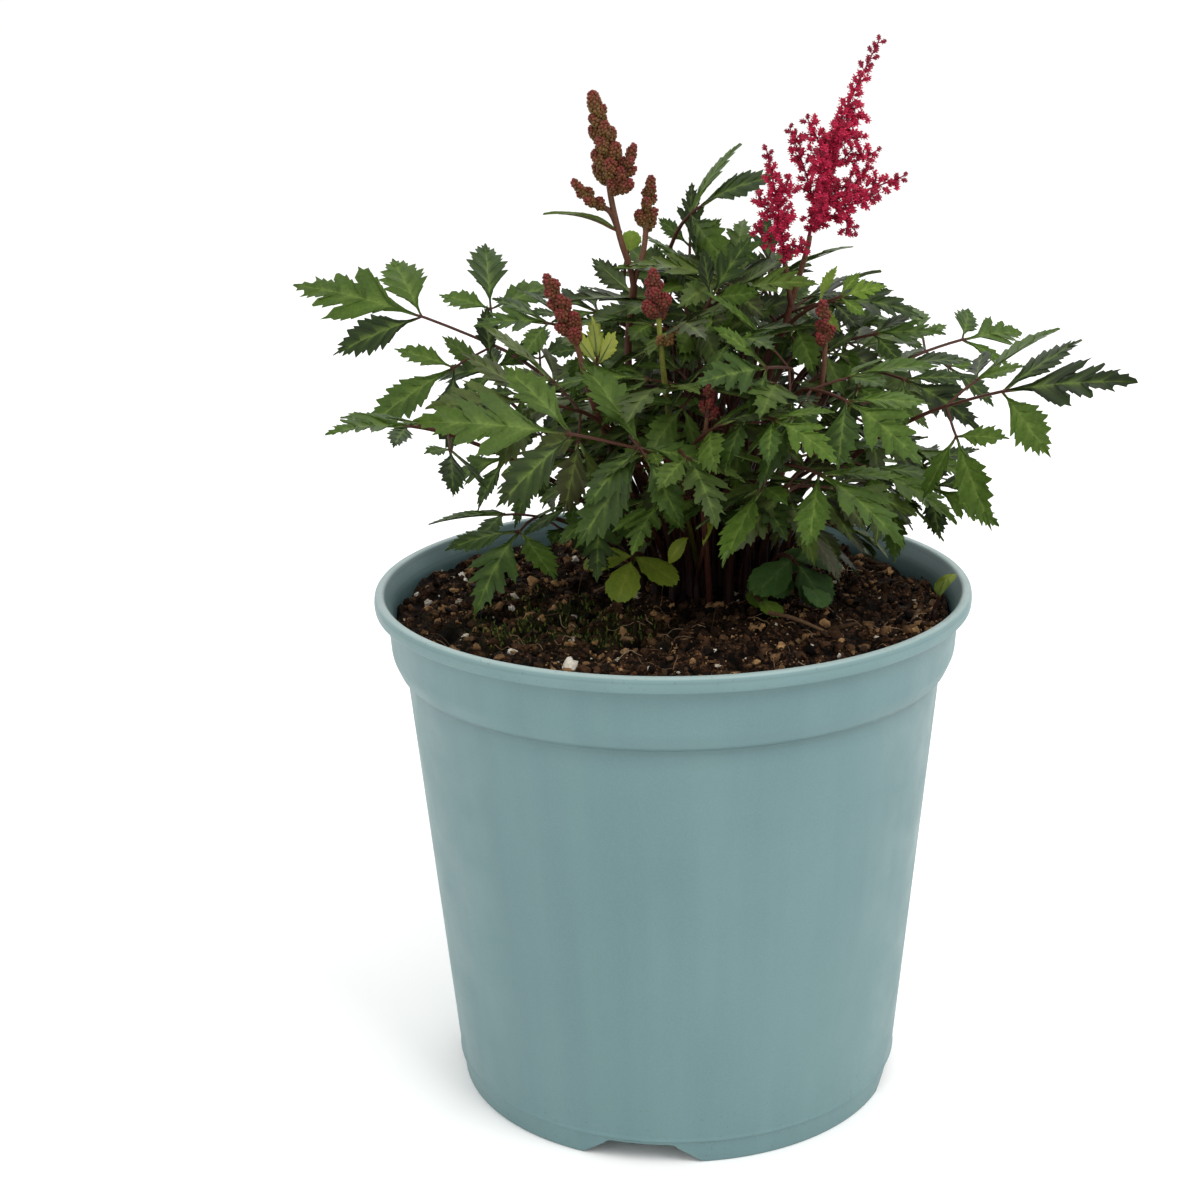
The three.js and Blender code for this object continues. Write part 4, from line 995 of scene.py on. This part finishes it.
def add_leaf(piece, ends, roll, droop, limb, foot, seed, petiole, bronze=0.0):
    """A leaf between its ends, the hub and the tip, on a petiole that stands in the compost at `foot` and
    curves out to the hub. `petiole` is its radius at the foot."""
    hub = ends[0]
    _, place, forward = arch_place(*ends, roll, droop)
    ground = vec(*foot, soil_height(*foot))
    rise = hub - ground
    far = np.linalg.norm(rise)
    collar = ground + UP * COLLAR_RISE
    a, b, c, d = collar, collar + UP * max(0.4 * rise[2], 0.2 * far), hub - forward * 0.3 * far, hub
    t = np.linspace(0, 1, 22 if piece.is_fine else 12)[:, None]
    path = (1 - t) ** 3 * a + 3 * t * (1 - t) ** 2 * b + 3 * t * t * (1 - t) * c + t**3 * d
    path = np.vstack([ground - UP * PLANTING_DEPTH, ground - UP * 2, path])
    share = np.concatenate([[0, 0], t[:, 0]])
    foot_r = 0.86 * petiole
    radii = foot_r + (RIB_R[0] + 0.08 - foot_r) * share + swelling(share, 0.07)
    piece.add(*tube(path, radii, 8), ring_tints(0.04 + 0.66 * share, 8), piece.stalk)
    grow(piece, place, limb, seed * 17 + 5, bronze)


def make_leaf(name, leaf, foot, seed, finishes, slot, petiole=PETIOLE_R):
    ends = settled(name, leaf)
    size = arch_place(*ends, leaf["roll"], leaf["droop"])[0]
    limb = leaf_limbs(leaf["kind"], size * leaf.get("trim", 1), seed)
    piece = Piece()
    add_leaf(piece, ends, leaf["roll"], leaf["droop"], limb, foot, seed, petiole, leaf.get("bronze", 0.0))
    piece.build(name + "_fine", finishes, slot, name, sharp=LEAF_SHARP)


# The leaves that only the visual model has: their droop in degrees, and the radius of their petioles.
SPROUT_DROOP, FILLING_DROOP, CROWN_DROOP = 30, 25, 50
SPROUT_R, THIN_R = 0.6, 0.85
DOME = vec(20, 14, 176)  # the crown's foliage: its middle, and how far it reaches out and up
DOME_R = (56, 84)
SIGHT_SLOPE = 0.3  # how far the view from the front falls for each part to the back
CLEAR_ACROSS, CLEAR_UP, CLEAR_BEHIND = 13, 16, 10  # how far from a place that is kept clear


def make_sprouts():
    pieces = {}
    for number, (finish, outline, hub, tip, roll, foot, width) in enumerate(SPROUTS):
        ends = vec(*hub), vec(*tip)
        size = arch_place(*ends, roll, SPROUT_DROOP)[0]
        limb = leaflet_limb(size, outline, width, fold=0.15)
        piece = pieces.setdefault(finish, Piece())
        add_leaf(piece, ends, roll, SPROUT_DROOP, limb, foot, 4000 + number, SPROUT_R)
    for finish, piece in pieces.items():
        piece.build("sprouts_" + finish, [blades[finish], petioles], "leaf", sharp=LEAF_SHARP)


def is_in_the_way(at, tip):
    """Whether a leaf at `at` would hide what is kept clear, or grow into it, or whether its tip would close
    one of the openings, all as seen from the front."""
    for dx, dy, dz in (at - place for place in KEPT_CLEAR):
        if abs(dx) < CLEAR_ACROSS and abs(dz + SIGHT_SLOPE * dy) < CLEAR_UP and dy < CLEAR_BEHIND:
            return True
    return any(math.hypot(tip[0] - x, tip[2] + SIGHT_SLOPE * tip[1] - z) < r for x, z, r in OPENINGS)


def make_crown_leaves(name, ring_number, count, height, size, reach):
    """A ring of leaves that face outwards on the dome over the crown. Those that would be in the way are left
    out."""
    piece = Piece(across=(1.0,))
    for n in range(count):
        seed = 7000 + 400 * ring_number + 13 * n
        turn = 2 * math.pi * (n + 0.5 * ring_number + spread(seed, 0.22)) / count
        up = math.radians(height + spread(seed + 1, 6))
        out = level_way(turn)
        at = DOME + out * DOME_R[0] * reach * math.cos(up) + UP * (DOME_R[1] * math.sin(up))
        swing = spread(seed + 2, 0.9)
        rise = (0.85 + 0.8 * max(0.0, out[1])) * math.sin(up) - 0.5
        way = unit(out * (1 - 0.4 * abs(swing)) - swing * np.cross(out, UP) + UP * rise)
        long = size * (1 + spread(seed + 3, 0.12))
        limb = leaf_limbs("full" if n % 3 else "sprig", long, seed)
        foot = CROWN + out[:2] * CROWN_R * (0.35 + 0.5 * chance(seed + 4))
        ends = at - 0.35 * long * way, at + 0.65 * long * way
        if not is_in_the_way(at, ends[1]):
            roll = 45 * swing + spread(seed + 5, 15)
            add_leaf(piece, ends, roll, CROWN_DROOP, limb, foot, seed, THIN_R, 0.25 * chance(seed + 6))
    piece.build(name, leaf_finishes, "leaf", sharp=LEAF_SHARP)


def make_filling_leaves():
    piece = Piece()
    for n, (kind, hub, tip, roll, foot) in enumerate(FILLING_LEAVES):
        ends, seed = (vec(*hub), vec(*tip)), 31 * n
        limb = leaf_limbs(kind, arch_place(*ends, roll, FILLING_DROOP)[0], 9000 + seed)
        add_leaf(piece, ends, roll, FILLING_DROOP, limb, foot, 9100 + seed, THIN_R, 0.1 * chance(n))
    piece.build("crown_leaves_filling", leaf_finishes, "leaf", sharp=LEAF_SHARP)


def leaf_row(name, hub, tip, roll, droop, kind="full", **more):
    return dict(name=name, hub=hub, tip=tip, roll=roll, droop=droop, kind=kind, **more)


# Leaves, as in the solids: the hub where a leaf divides, its tip, its roll about the line between them and
# its droop from hub to tip in degrees. `bronze` browns a leaf, and `trim` shortens it within its arch.
LEAVES = [
    leaf_row("left_high", (-58, 45, 236), (-129.5, 72, 255), -38, 20),
    leaf_row("right_far", (82, -30, 230), (129.5, -68, 246), 40, 20, trim=0.97),
    leaf_row("top", (7, 30, 280), (35, 16, 294), 42, 40, "simple"),
    leaf_row("left_low", (-70, 2, 216), (-105, -30, 225), -14, 25),
    leaf_row("left_front", (-27, -22, 228), (-72, -58, 238), -45, 35, bronze=0.35),
    leaf_row("front_mid", (-4, -34, 224), (6, -74, 212), 0, 50, bronze=0.15),
    leaf_row("right_high", (83, 35, 234), (119, 60, 236), 38, 25),
    leaf_row("right_low", (72, 8, 199), (102, -16, 189), 38, 40),
    leaf_row("centre", (36, -20, 240), (6, -60, 244), -60, 40),
    leaf_row("centre_tall", (8, 0, 244), (26, -8, 276), 80, 30),
    leaf_row("right_mid", (42, -32, 236), (72, -74, 222), 25, 50),
    leaf_row("centre_front", (18, -40, 230), (40, -74, 224), 25, 50, "sprig"),
    leaf_row("right_front", (32, -34, 218), (66, -80, 205), 15, 50),
    leaf_row("front_low", (24, -20, 208), (40, -60, 202), 10, 40),
    leaf_row("low_left", (-42, -2, 190), (-58, -50, 176), -10, 50),
    leaf_row("low_mid", (-24, -2, 194), (-27, -42, 179), 0, 45),
    leaf_row("right_dark", (60, 2, 230), (90, -36, 218), 25, 45),
    leaf_row("right_behind", (58, 44, 236), (90, 72, 234), 25, 35),
    leaf_row("left_middle", (-42, 26, 224), (-82, 46, 220), -35, 35),
    leaf_row("left_under", (-38, 14, 200), (-76, 26, 184), -35, 40),
    leaf_row("right_second", (46, -8, 208), (82, -44, 196), 20, 50),
    leaf_row("centre_high", (32, 8, 250), (62, -24, 252), 20, 50),
    leaf_row("left_inner", (-28, 20, 244), (-62, -4, 252), -35, 40),
    leaf_row("inner_left", (-14, 26, 204), (-24, 44, 238), 0, 30),
    leaf_row("inner_back", (16, 42, 206), (14, 62, 240), 0, 30),
    leaf_row("inner_right", (40, 36, 202), (56, 54, 232), 0, 30),
    leaf_row("fresh", (49, 3, 256), (70, -2, 263), 62, 30, "sprig", colour="fresh"),
    leaf_row("left_back", (-9, 40, 250), (-40, 58, 262), -25, 30, "sprig"),
    leaf_row("top_mid", (8, 34, 258), (10, 42, 290), 0, 30, "sprig"),
    leaf_row("top_behind", (33, 40, 250), (32, 58, 276), 0, 30, "sprig"),
    leaf_row("right_inner", (54, 10, 242), (84, -6, 248), 35, 30, "sprig"),
    leaf_row("back_left", (-38, 52, 214), (-74, 78, 206), -10, 40),
    leaf_row("back_low", (-6, 58, 202), (-18, 93, 186), 0, 40),
    leaf_row("back_mid", (24, 60, 228), (36, 93, 218), 0, 40),
    leaf_row("back_right", (60, 46, 198), (94, 66, 190), 10, 40),
]
SMALL_LEAVES = [
    leaf_row("young", (-22, -12, 240), (-23, -14, 256), 0, 20, "young"),
    leaf_row("round", (38, -9, 177), (48, -21, 165), 10, 25, "round"),
    leaf_row("yellow", (-12, -4, 177), (-17, -17, 166), -10, 35, "yellow"),
]

# Openings in the crown's outline: x and z at the pot's middle, and a radius.
OPENINGS = [(78, 209, 20), (-72, 226, 14)]

# The rings of small leaves on the dome: how many, how high in degrees, how long, and their share of its
# width.
CROWN_RINGS = dict(
    low=(19, 20, 44, 1.0), middle=(17, 38, 48, 1.0), high=(12, 58, 46, 1.0), top=(7, 76, 42, 1.0),
    inner=(16, 30, 46, 0.66), foot=(12, 4, 36, 0.6),
)

# Leaves of the crown that only the visual model has, in places of their own: kind, hub, tip, roll and foot.
FILLING_LEAVES = [
    ("simple", (-59, 46, 228), (-60, 42, 250), 180, (-2, 34)),
    ("simple", (-8, 30, 252), (-25, 34, 266), 120, (6, 34)),
    ("sprig", (18, 24, 252), (6, 14, 282), 160, (12, 26)),
    ("sprig", (-8, -44, 221), (-71, -60, 235), -50, (2, 8)),
    ("simple", (-9, -45, 222), (3, -64, 204), 10, (4, 8)),
    ("simple", (12, -40, 226), (34, -56, 236), 20, (10, 8)),
]

# Small growth that only the visual model has, each a single leaflet on a stalk of its own: its finish, its
# outline, its hub, its tip, its roll, its foot, and how wide it is beside the outline.
SPROUTS = [
    ("young", NARROW, (-1, -4, 174), (5, -7, 184), 60, (0, 2), 2.2),
    ("young", NARROW, (10, -8, 181), (14, -10, 192), 50, (8, 2), 1.5),
    ("fresh", ROUND, (25, -2, 165), (28, -11, 162), 0, (24, 2), 1),
    ("fresh", ROUND, (28, -11, 164), (33, -21, 162), 0, (25, 0), 0.9),
    ("round", ROUND, (32, -3, 172), (24, -8, 167), 15, (31, 5), 1),
    ("round", ROUND, (32, -3, 172), (35, -14, 166), 10, (31, 6), 1),
    ("round", ROUND, (33, -2, 173), (43, -3, 176), 60, (32, 6), 1),
    ("round", ROUND, (40, -10, 172), (50, -16, 169), 20, (36, 4), 1),
    ("round", ROUND, (41, -13, 171), (47, -24, 166), -10, (36, 3), 1),
    ("withered", TOOTHED, (42, -9, 188), (53, -15, 171), 30, (37, 4), 0.7),
    ("fresh", ROUND, (-13, 32, 268), (-11, 31, 275), 116, (8, 33), 1.2),
    ("yellow", ROUND, (83, -17, 166), (86, -22, 176), 0, (82, -15), 0.9),
    ("yellow", NARROW, (83, -18, 167), (84, -24, 175), 0, (82, -17), 2),
]

# ---- stems, buds and plumes ----
# Each stem's stalks, its heads of closed buds with their greatest radius and how olive they are, and its
# radii at the foot and at the top.
BUD_STEMS = [
    dict(
        name="tall",
        stalks=[
            [(-11, 16, 215), (-13, 15, 243), (-11, 12, 261), (-15, 10, 276), (-18, 8, 292), (-18, 8, 298)],
            [(-13, 15, 243), (-11, 12, 261), (-8, 13, 270), (-7, 14, 277), (-7, 14, 282)],
            [(-15, 10, 277), (-18, 9, 284), (-21, 8, 286), (-24, 7, 289)],
        ],
        heads=[
            dict(name="tall", path=[(-17, 8, 293), (-19, 7, 305), (-23, 4, 322)], radius=5.6, olive=0.75,
                 side=[(-15, 6, 290), (-10, 4, 305)], side_radius=3.6, side_olive=0.35),
            dict(name="fork", path=[(-7, 14, 278), (-5, 15, 294)], radius=3.7, olive=0.6),
            dict(name="tall_side", path=[(-21, 8, 285), (-29, 5, 294)], radius=3.1, olive=0.6),
        ],
        radii=(1.9, 1.1),
    ),
    dict(
        name="left",
        stalks=[[(-14, 2, 200), (-24, -13, 230), (-28, -19, 248), (-30, -20, 253)]],
        heads=[dict(name="left", path=[(-28, -19, 249), (-37, -24, 271)], radius=4.6, olive=0.3)],
        radii=(1.6, 1),
    ),
    dict(
        name="middle",
        stalks=[[(3, -6, 200), (-1, -18, 231), (-3, -22, 255), (-3, -22, 260)]],
        heads=[
            dict(name="middle", path=[(-3.1, -22.1, 256.5), (-4.7, -23.7, 270.5)], radius=4.6, olive=0.15,
                 side=[(-2.2, -21.5, 248), (2.4, -23, 253)], side_radius=2, side_olive=3),
        ],
        radii=(1.5, 1),
    ),
    dict(
        name="right",
        stalks=[[(38, 0, 210), (46, -12, 232), (47, -16, 247), (47, -17, 250)]],
        heads=[dict(name="right", path=[(47, -16, 247), (46, -18, 260)], radius=3.3, olive=0.2)],
        radii=(1.4, 0.9),
    ),
    dict(
        name="front",
        stalks=[[(10, -14, 195), (10, -32, 220), (11, -36, 229), (11, -36, 232)]],
        heads=[dict(name="front", path=[(11, -36, 229), (12, -37, 240)], radius=2.9, olive=0.1)],
        radii=(1.3, 0.8),
    ),
]
BRACT = dict(root=(-15.6, 9.6, 278), tip=(-38, 0, 286), roll=-20, droop=35)
PLUME_STEM = dict(
    radii=(1.9, 1),
    stalks=[
        [(24, 20, 200), (34, 11, 240), (38, 8, 255), (41, 6, 266), (43, 4, 274), (43.3, 3.7, 276.3)],
        [(38, 8, 254), (37, 6, 261), (36, 3, 266), (35.7, 2.5, 268.2)],
    ],
)
PLUMES = {
    "plume_main": [
        [(43, 4, 275), (44, 3, 281), (48, 2, 292), (50, 1, 302), (52, 0, 311), (56, -1, 320), (64, -3, 337)],
        [(44, 3, 278), (51, 0, 283), (57, -1, 278)],
        [(47, 2, 288), (60, 3, 290), (72, 4, 294)],
        [(45, 3, 284), (42, 5, 295), (37, 6, 309)],
        [(49, 1, 297), (46, 2, 304), (42, 3, 312)],
        [(50, 1, 299), (57, 1, 299), (63, 0, 302)],
        [(51, 0, 306), (59, 0, 306)],
        [(53, 0, 312), (60, 0, 312)],
        [(45, 3, 281), (46, -7, 286), (45, -14, 289)],
        [(45, 3, 283), (49, 12, 287), (51, 19, 293)],
        [(48, 2, 292), (46, -6, 297), (45, -11, 303)],
        [(49, 1, 295), (49, 9, 299), (49, 14, 305)],
        [(47, 2, 286), (55, -7, 287), (62, -13, 291)],
        [(46, 2, 286), (55, 9, 289), (62, 14, 296)],
        [(50, 1, 303), (52, -5, 307), (53, -9, 311)],
        [(51, 0, 305), (54, 5, 309), (56, 8, 313)],
    ],
    "plume_side": [
        [(35.8, 2.6, 267), (35, 1, 274), (33, -4, 287), (29, -8, 306)],
        [(35, 1, 273), (39, -2, 272), (42, -3, 275)],
        [(34, -1, 278), (29, -2, 278), (26, -2, 280)],
        [(34, -2, 280), (35, -9, 283), (36, -12, 287)],
        [(34, -3, 283), (29, 0, 286), (27, 2, 290)],
        [(33, -4, 288), (35, -9, 292), (36, -11, 296)],
    ],
}
# What the crown's small leaves leave clear: the heads of buds and the plume, and some gaps and small leaves.
KEPT_CLEAR = [vec(*head["path"][0]) for stem in BUD_STEMS for head in stem["heads"]]
KEPT_CLEAR += [
    vec(*place)
    for place in (
        PLUMES["plume_main"][0][0], (60, 0, 260), (-24, -17, 250), (40, 6, 258), (19, -12, 184),
        (-14, -14, 172), (44, -18, 172),
    )
]


def stand_feet(stalks):
    """Where each stalk meets the compost, as in the solids."""
    feet = []
    for aim in stalks:
        out = np.array(aim[:2], dtype=float) - CROWN
        lean = np.linalg.norm(out) / (aim[2] - POT_HEIGHT + SOIL_DROP)
        feet.append(CROWN + unit(out) * CROWN_R * min(1, 0.25 + 0.6 * lean))
    for _ in range(80):
        for i, a in enumerate(feet):
            for j, b in enumerate(feet):
                gap = math.dist(a, b)
                if i == j or gap > STALK_SPACING:
                    continue
                push = (b - a) * (0.5 * (STALK_SPACING - gap) / gap)
                a -= push
                b += push
    return feet


def make_stem(name, stem, foot, finish, bract=None):
    piece = Piece(blade=1, stalk=0)
    ground = float(soil_height(*foot))
    for n, path in enumerate(stem["stalks"]):
        is_main = n == 0
        if is_main:
            path = [(*foot, ground - PLANTING_DEPTH), (*foot, ground + 2), *path]
        points = curve_through(path, 48 if is_main else 16)
        thick = (0.8 if is_main else 0.5) * stem["radii"][0]
        share = np.linspace(0, 1, len(points))
        swollen = swelling(share, 0.05) if is_main else 0
        tints = ring_tints(0.1 + 0.8 * share if is_main else 0.7 + 0.2 * share, 10)
        piece.add(*tube(points, thick + (0.8 * stem["radii"][1] - thick) * share + swollen, 10), tints)
    if bract:
        size, place, _ = arch_place(vec(*bract["root"]), vec(*bract["tip"]), bract["roll"], bract["droop"])
        grow(piece, place, leaflet_limb(size, NARROW, 0.6, fold=0.2), 77, 0.3)
    piece.build(name + "_fine", [finish, blades["leaf"]], "stem", name)


BUD_AREA = 1.0  # what one bud takes up of an egg's surface
BUD_R = 0.6


def egg(centre, way, wide, reach):
    return centre, axes_about(way), vec(wide, wide, reach)


def add_egg(piece, centre, axes, size, others, olive, seed):
    """An egg with a core and small round buds packed on its surface, but none inside another egg."""
    wide, _, reach = size
    points, faces = BALL
    piece.add(centre + (points * 0.97 * size) @ axes, faces, (0.35, 0, 0.5, 0))
    count = round(4 * math.pi * (wide * wide + 2 * wide * reach) / 3 / BUD_AREA)
    points, faces = BEAD
    for n in range(count):
        z = 1 - 2 * (n + 0.1 + 0.8 * chance(seed + 5 * n)) / count
        turn = n * GOLDEN_TURN + seed + spread(seed + 5 * n + 1, 0.3)
        ball = math.sqrt(1 - z * z) * level_way(turn) + z * UP
        at = centre + (ball * size) @ axes
        if any((((at - c) @ turned.T / radii) ** 2).sum() < 0.75 for c, turned, radii in others):
            continue
        facing = unit((ball / size) @ axes)
        s = seed + 7 * n
        tints = np.zeros((len(points), 4))
        tints[:, 0] = 0.35 + 0.3 * chance(s + 2) + 0.2 * z
        tints[:, 1] = np.clip(points @ facing, 0, 1) ** 4
        tints[:, 2] = np.clip(olive * (1.1 - 0.9 * z) + spread(s + 3, 0.1), 0, 1)
        piece.add(at + points * (BUD_R * (0.8 + 0.4 * chance(s + 1))) + facing * 0.05, faces, tints)


def add_buds(piece, path, radius, olive, seed):
    """A head of closed buds: plump side spikes, each an egg, in a spiral up to the tip."""
    long = length_of(np.array(path, dtype=float))
    axis = curve_through(path, 60)
    along, across, over = frames_along(axis)
    piece.add(*tube(axis[:54:5], np.linspace(0.4, 0.15, 11) * radius, 8), (0.1, 0, olive, 0))
    count = max(3, round(long / 2.1))
    eggs = []
    for n in range(count + 1):
        t = 0.1 + 0.72 * n / count
        k = int(60 * t)
        full = radius * (1.12 - 0.78 * t) * (1 + spread(seed + n, 0.1))
        if n == count:
            eggs.append(egg(axis[48], along[48], 0.75 * full, min(1.7 * full, 0.2 * long + 1)))
            continue
        out = spiral_way(across[k], over[k], n, seed)
        way = unit(0.55 * out + along[k])
        eggs.append(egg(axis[k] + 0.56 * full * out, way, 0.41 * full + 0.1, 0.66 * full + 0.3))
    for n, (centre, axes, size) in enumerate(eggs):
        add_egg(piece, centre, axes, size, eggs[:n] + eggs[n + 1 :], olive, seed + 97 * n)


TIP_DROP = 2.6  # how far below the end of its spray the last knot sits
PETALS = 14
PETAL_FACES = [(0, 2, 1), (0, 3, 2), (0, 4, 3), (0, 1, 4), (5, 1, 2), (5, 2, 3), (5, 3, 4), (5, 4, 1)]
PETAL_PALENESS = [0, 0.3, 0.3, 0.3, 0.3, 0.8]
# By the order of a spray: how thick its foot is, how far apart its knots are, and how large they are.
SPRAY_R, KNOT_SPACING, KNOT_SIZE = (0.6, 0.4, 0.25), (0.95, 1.15, 1.15), (0.92, 0.88, 0.76)


def add_petal(piece, at, line, long, wide, shade, closed):
    """A narrow petal: a flat spindle from its foot to its tip."""
    flat = unit(np.cross(line, UP + vec(0.3, 0.1, 0)))
    thin = np.cross(line, flat)
    middle = at + line * long * 0.6
    ring = [flat * wide, thin * 0.35 * wide, -flat * wide, -thin * 0.35 * wide]
    tints = np.tile((shade, 0, closed, 0.0), (6, 1))
    tints[:, 1] = PETAL_PALENESS
    piece.add(np.array([at, *(middle + r for r in ring), at + line * long]), PETAL_FACES, tints)


def add_knot(piece, foot, way, reach, full, closed, s):
    """A knot of florets on a short stalk: a core with petals all round it, shut as far as `closed` says."""
    centre = foot + way * reach
    size = vec(1.1 * full, 1.1 * full, 2.0 * full)
    axes = axes_about(way)
    piece.add(*tube(np.array([foot, (foot + centre) / 2, centre]), 0.16, 4), (0.15, 0, 0.4, 0))
    core = centre + (BEAD[0] * (size * vec(0.8, 0.8, 0.9))) @ axes
    piece.add(core, BEAD[1], (0.2 + 0.2 * chance(s + 3), 0, 0.25 + 0.4 * closed, 0))
    for p in range(PETALS):
        z = 1 - 1.7 * (p + 0.5) / PETALS
        ball = math.sqrt(max(0.0, 1 - z * z)) * level_way(p * GOLDEN_TURN + s) + z * UP
        line = unit(ball @ axes + 0.4 * way)
        shade = np.clip(0.15 + 0.6 * chance(s + 5 + p) + 0.2 * (1 - closed), 0, 1)
        long = (0.8 + 0.7 * (1 - 0.8 * closed) * chance(s + 40 + p)) * full
        add_petal(piece, centre + (ball * 0.6 * size) @ axes, line, long, 0.52 - 0.05 * closed, shade, closed)


def add_spray(piece, path, seed, order):
    """One branch of a plume: knots of open florets in a spiral along it, which close and shrink to its end.
    The axis is of order 0, a side branch of order 1, and the twigs on that of order 2."""
    long = length_of(np.array(path, dtype=float))
    axis = curve_through(path, max(8, int(long * 1.6)))
    axis = axis[: len(axis) - (order == 0) * round(0.04 * len(axis))]
    along, across, over = frames_along(axis)
    piece.add(*tube(axis, np.linspace(SPRAY_R[order], 0.2, len(axis)), 5), (0.1, 0, 0.5, 0))
    for n in range(int(long / 3.2) - 1 if order == 1 else 0):
        k = int(len(axis) * (0.2 + 0.2 * n))
        if k >= len(axis) - 2:
            break
        out = unit(np.cross(along[k], (0.2, -1, 0.3))) * (1 if n % 2 else -1)
        reach = (1 - k / len(axis)) * 3.5 + 2.2
        end = axis[k] + unit(out + 0.8 * along[k]) * reach
        add_spray(piece, [axis[k], (axis[k] + end) / 2 + 0.3 * UP, end], seed + 37 * n, 2)
    count = max(3, int(long / KNOT_SPACING[order]))
    for n in range(count + 1):
        t = n / count
        if order == 0 and t < 0.04:
            continue
        k = min(len(axis) - 1, int(t * len(axis)))
        s = seed + 61 * n
        full = min(1, 0.6 + 2 * t, 0.6 + 1.2 * (1 - t)) * KNOT_SIZE[order]
        out = spiral_way(across[k], over[k], n, seed)
        way = unit(out + 0.8 * along[k]) if n < count else along[k]
        reach = (1.3 + 1.9 * chance(s + 1)) * full if n < count else -TIP_DROP
        add_knot(piece, axis[k], way, reach, full, 1.0 if t > 0.84 else 0.3 * chance(s + 2), s)


# ---- put it together, with a number of its own for each piece's chances to start from ----
make_pot()
make_compost()
make_crumbs()
make_perlite()
make_bark()
make_fibres()
make_moss()

# The near-black feet of the petioles and flower stems are partly their own dark red-brown and partly painted
# shade under the crown.
petioles = stalk_finish("petioles", "#1c0906", "#44261a", "#6a7e3c")
stems = stalk_finish("flower_stems", "#2f1210", "#553226", "#6d5038")
green_stems = stalk_finish("green_stems", "#351f14", "#626326", "#7b8534")
buds = bud_finish()
petals = petal_finish()
blades = dict(
    leaf=leaf_finish("leaf_green", "#152008", "#2a4010", "#455d19", "#70863c", "#4b5935"),
    fresh=leaf_finish("leaf_fresh_green", "#3c5416", "#567022", "#788f36", "#90a050", "#7f8f4f"),
    round=leaf_finish("leaf_dark_green", "#1a2c0e", "#2b451c", "#42602c", "#5a7140", "#55653f"),
    yellow=leaf_finish("leaf_yellow_green", "#3f5014", "#5f7420", "#808e30", "#96a044", "#808a44"),
    young=leaf_finish("leaf_young_green", "#6c7a24", "#8c9a2e", "#aab048", "#bcc058", "#a2a858"),
    withered=leaf_finish("leaf_withered", "#3a3c2a", "#5a5d46", "#74745c", "#7e7c64", "#6c6a54"),
)

leaf_finishes = [blades["leaf"], petioles]

stem_aims = [stem["stalks"][0][1] for stem in [*BUD_STEMS, PLUME_STEM]]
feet = stand_feet(stem_aims + [leaf["hub"] for leaf in LEAVES + SMALL_LEAVES])
stalk_feet, leaf_feet = feet[: len(stem_aims)], feet[len(stem_aims) :]

for number, (stem, foot) in enumerate(zip(BUD_STEMS, stalk_feet)):
    name = stem["name"]
    finish = green_stems if name == "middle" else stems
    make_stem("stem_" + name, stem, foot, finish, BRACT if name == "tall" else None)
    for k, head in enumerate(stem["heads"]):
        piece = Piece()
        add_buds(piece, head["path"], 0.9 * head["radius"], head["olive"], 700 * number + 5000 * k + 60000)
        if "side" in head:
            add_buds(piece, head["side"], head["side_radius"], head["side_olive"], 80000)
        piece.build("buds_" + head["name"] + "_fine", [buds], "buds", "buds_" + head["name"])

make_stem("stem_plume", PLUME_STEM, stalk_feet[-1], stems)
for number, (name, sprays) in enumerate(PLUMES.items()):
    piece = Piece()
    for k, spray in enumerate(sprays):
        add_spray(piece, spray, 900 + 2000 * number + 3100 * k, min(k, 1))
    piece.build(name + "_fine", [petals], "plume", name, sharp=80)

for number, (leaf, foot) in enumerate(zip(LEAVES, leaf_feet)):
    colour = leaf.get("colour", "leaf")
    make_leaf("leaf_" + leaf["name"], leaf, foot, 40 * number, [blades[colour], petioles], colour)

make_sprouts()
for number, (name, ring) in enumerate(CROWN_RINGS.items()):
    make_crown_leaves("crown_leaves_" + name, number, *ring)

make_filling_leaves()
for number, (leaf, foot) in enumerate(zip(SMALL_LEAVES, leaf_feet[len(LEAVES) :])):
    kind = leaf["kind"]
    make_leaf("leaf_" + kind, leaf, foot, 3000 + 10 * number, [blades[kind], petioles], kind, SMALL_PETIOLE_R)


# ---- studio ----
FLOOR_HALF = 40
WORLD_LIGHT = 1.05
LAMPS = [  # name, place, size and power
    ("key", (0.8, -0.8, 1.5), 0.9, 16),
    ("fill", (-1.2, -0.6, 1.0), 1.2, 3),
    ("back", (0.2, 1.3, 1.3), 1.0, 5),
]


def make_studio():
    """A pale floor, an even white world and three soft lamps. Lengths are in metres here."""
    f = Finish("floor_paper", 0.9, Specular_IOR_Level=0.1)
    f.colour(f.ramp(f.noise(0.02, 2), (0.3, "#fafaf9"), (0.7, "#fcfcfb")))
    mesh = bpy.data.meshes.new("floor")
    corners = ((-1, -1), (1, -1), (1, 1), (-1, 1))
    mesh.from_pydata([(x * FLOOR_HALF, y * FLOOR_HALF, 0) for x, y in corners], [], [(0, 1, 2, 3)])
    mesh.materials.append(f.material)
    floor = add_object("floor", mesh)
    world = bpy.data.worlds.new("studio")
    world.use_nodes = True
    light = world.node_tree.nodes["Background"].inputs
    light["Color"].default_value = (1, 1, 1, 1)
    light["Strength"].default_value = WORLD_LIGHT
    bpy.context.scene.world = world
    bpy.context.scene.view_settings.view_transform = "Standard"
    for name, at, size, power in LAMPS:
        light = bpy.data.lights.new(name, "AREA")
        light.size = size
        light.energy = power
        lamp = add_object(name, light)
        lamp.location = at
        lamp.rotation_euler = (Vector((0, 0, 0.2)) - Vector(at)).to_track_quat("-Z", "Y").to_euler()


make_studio()
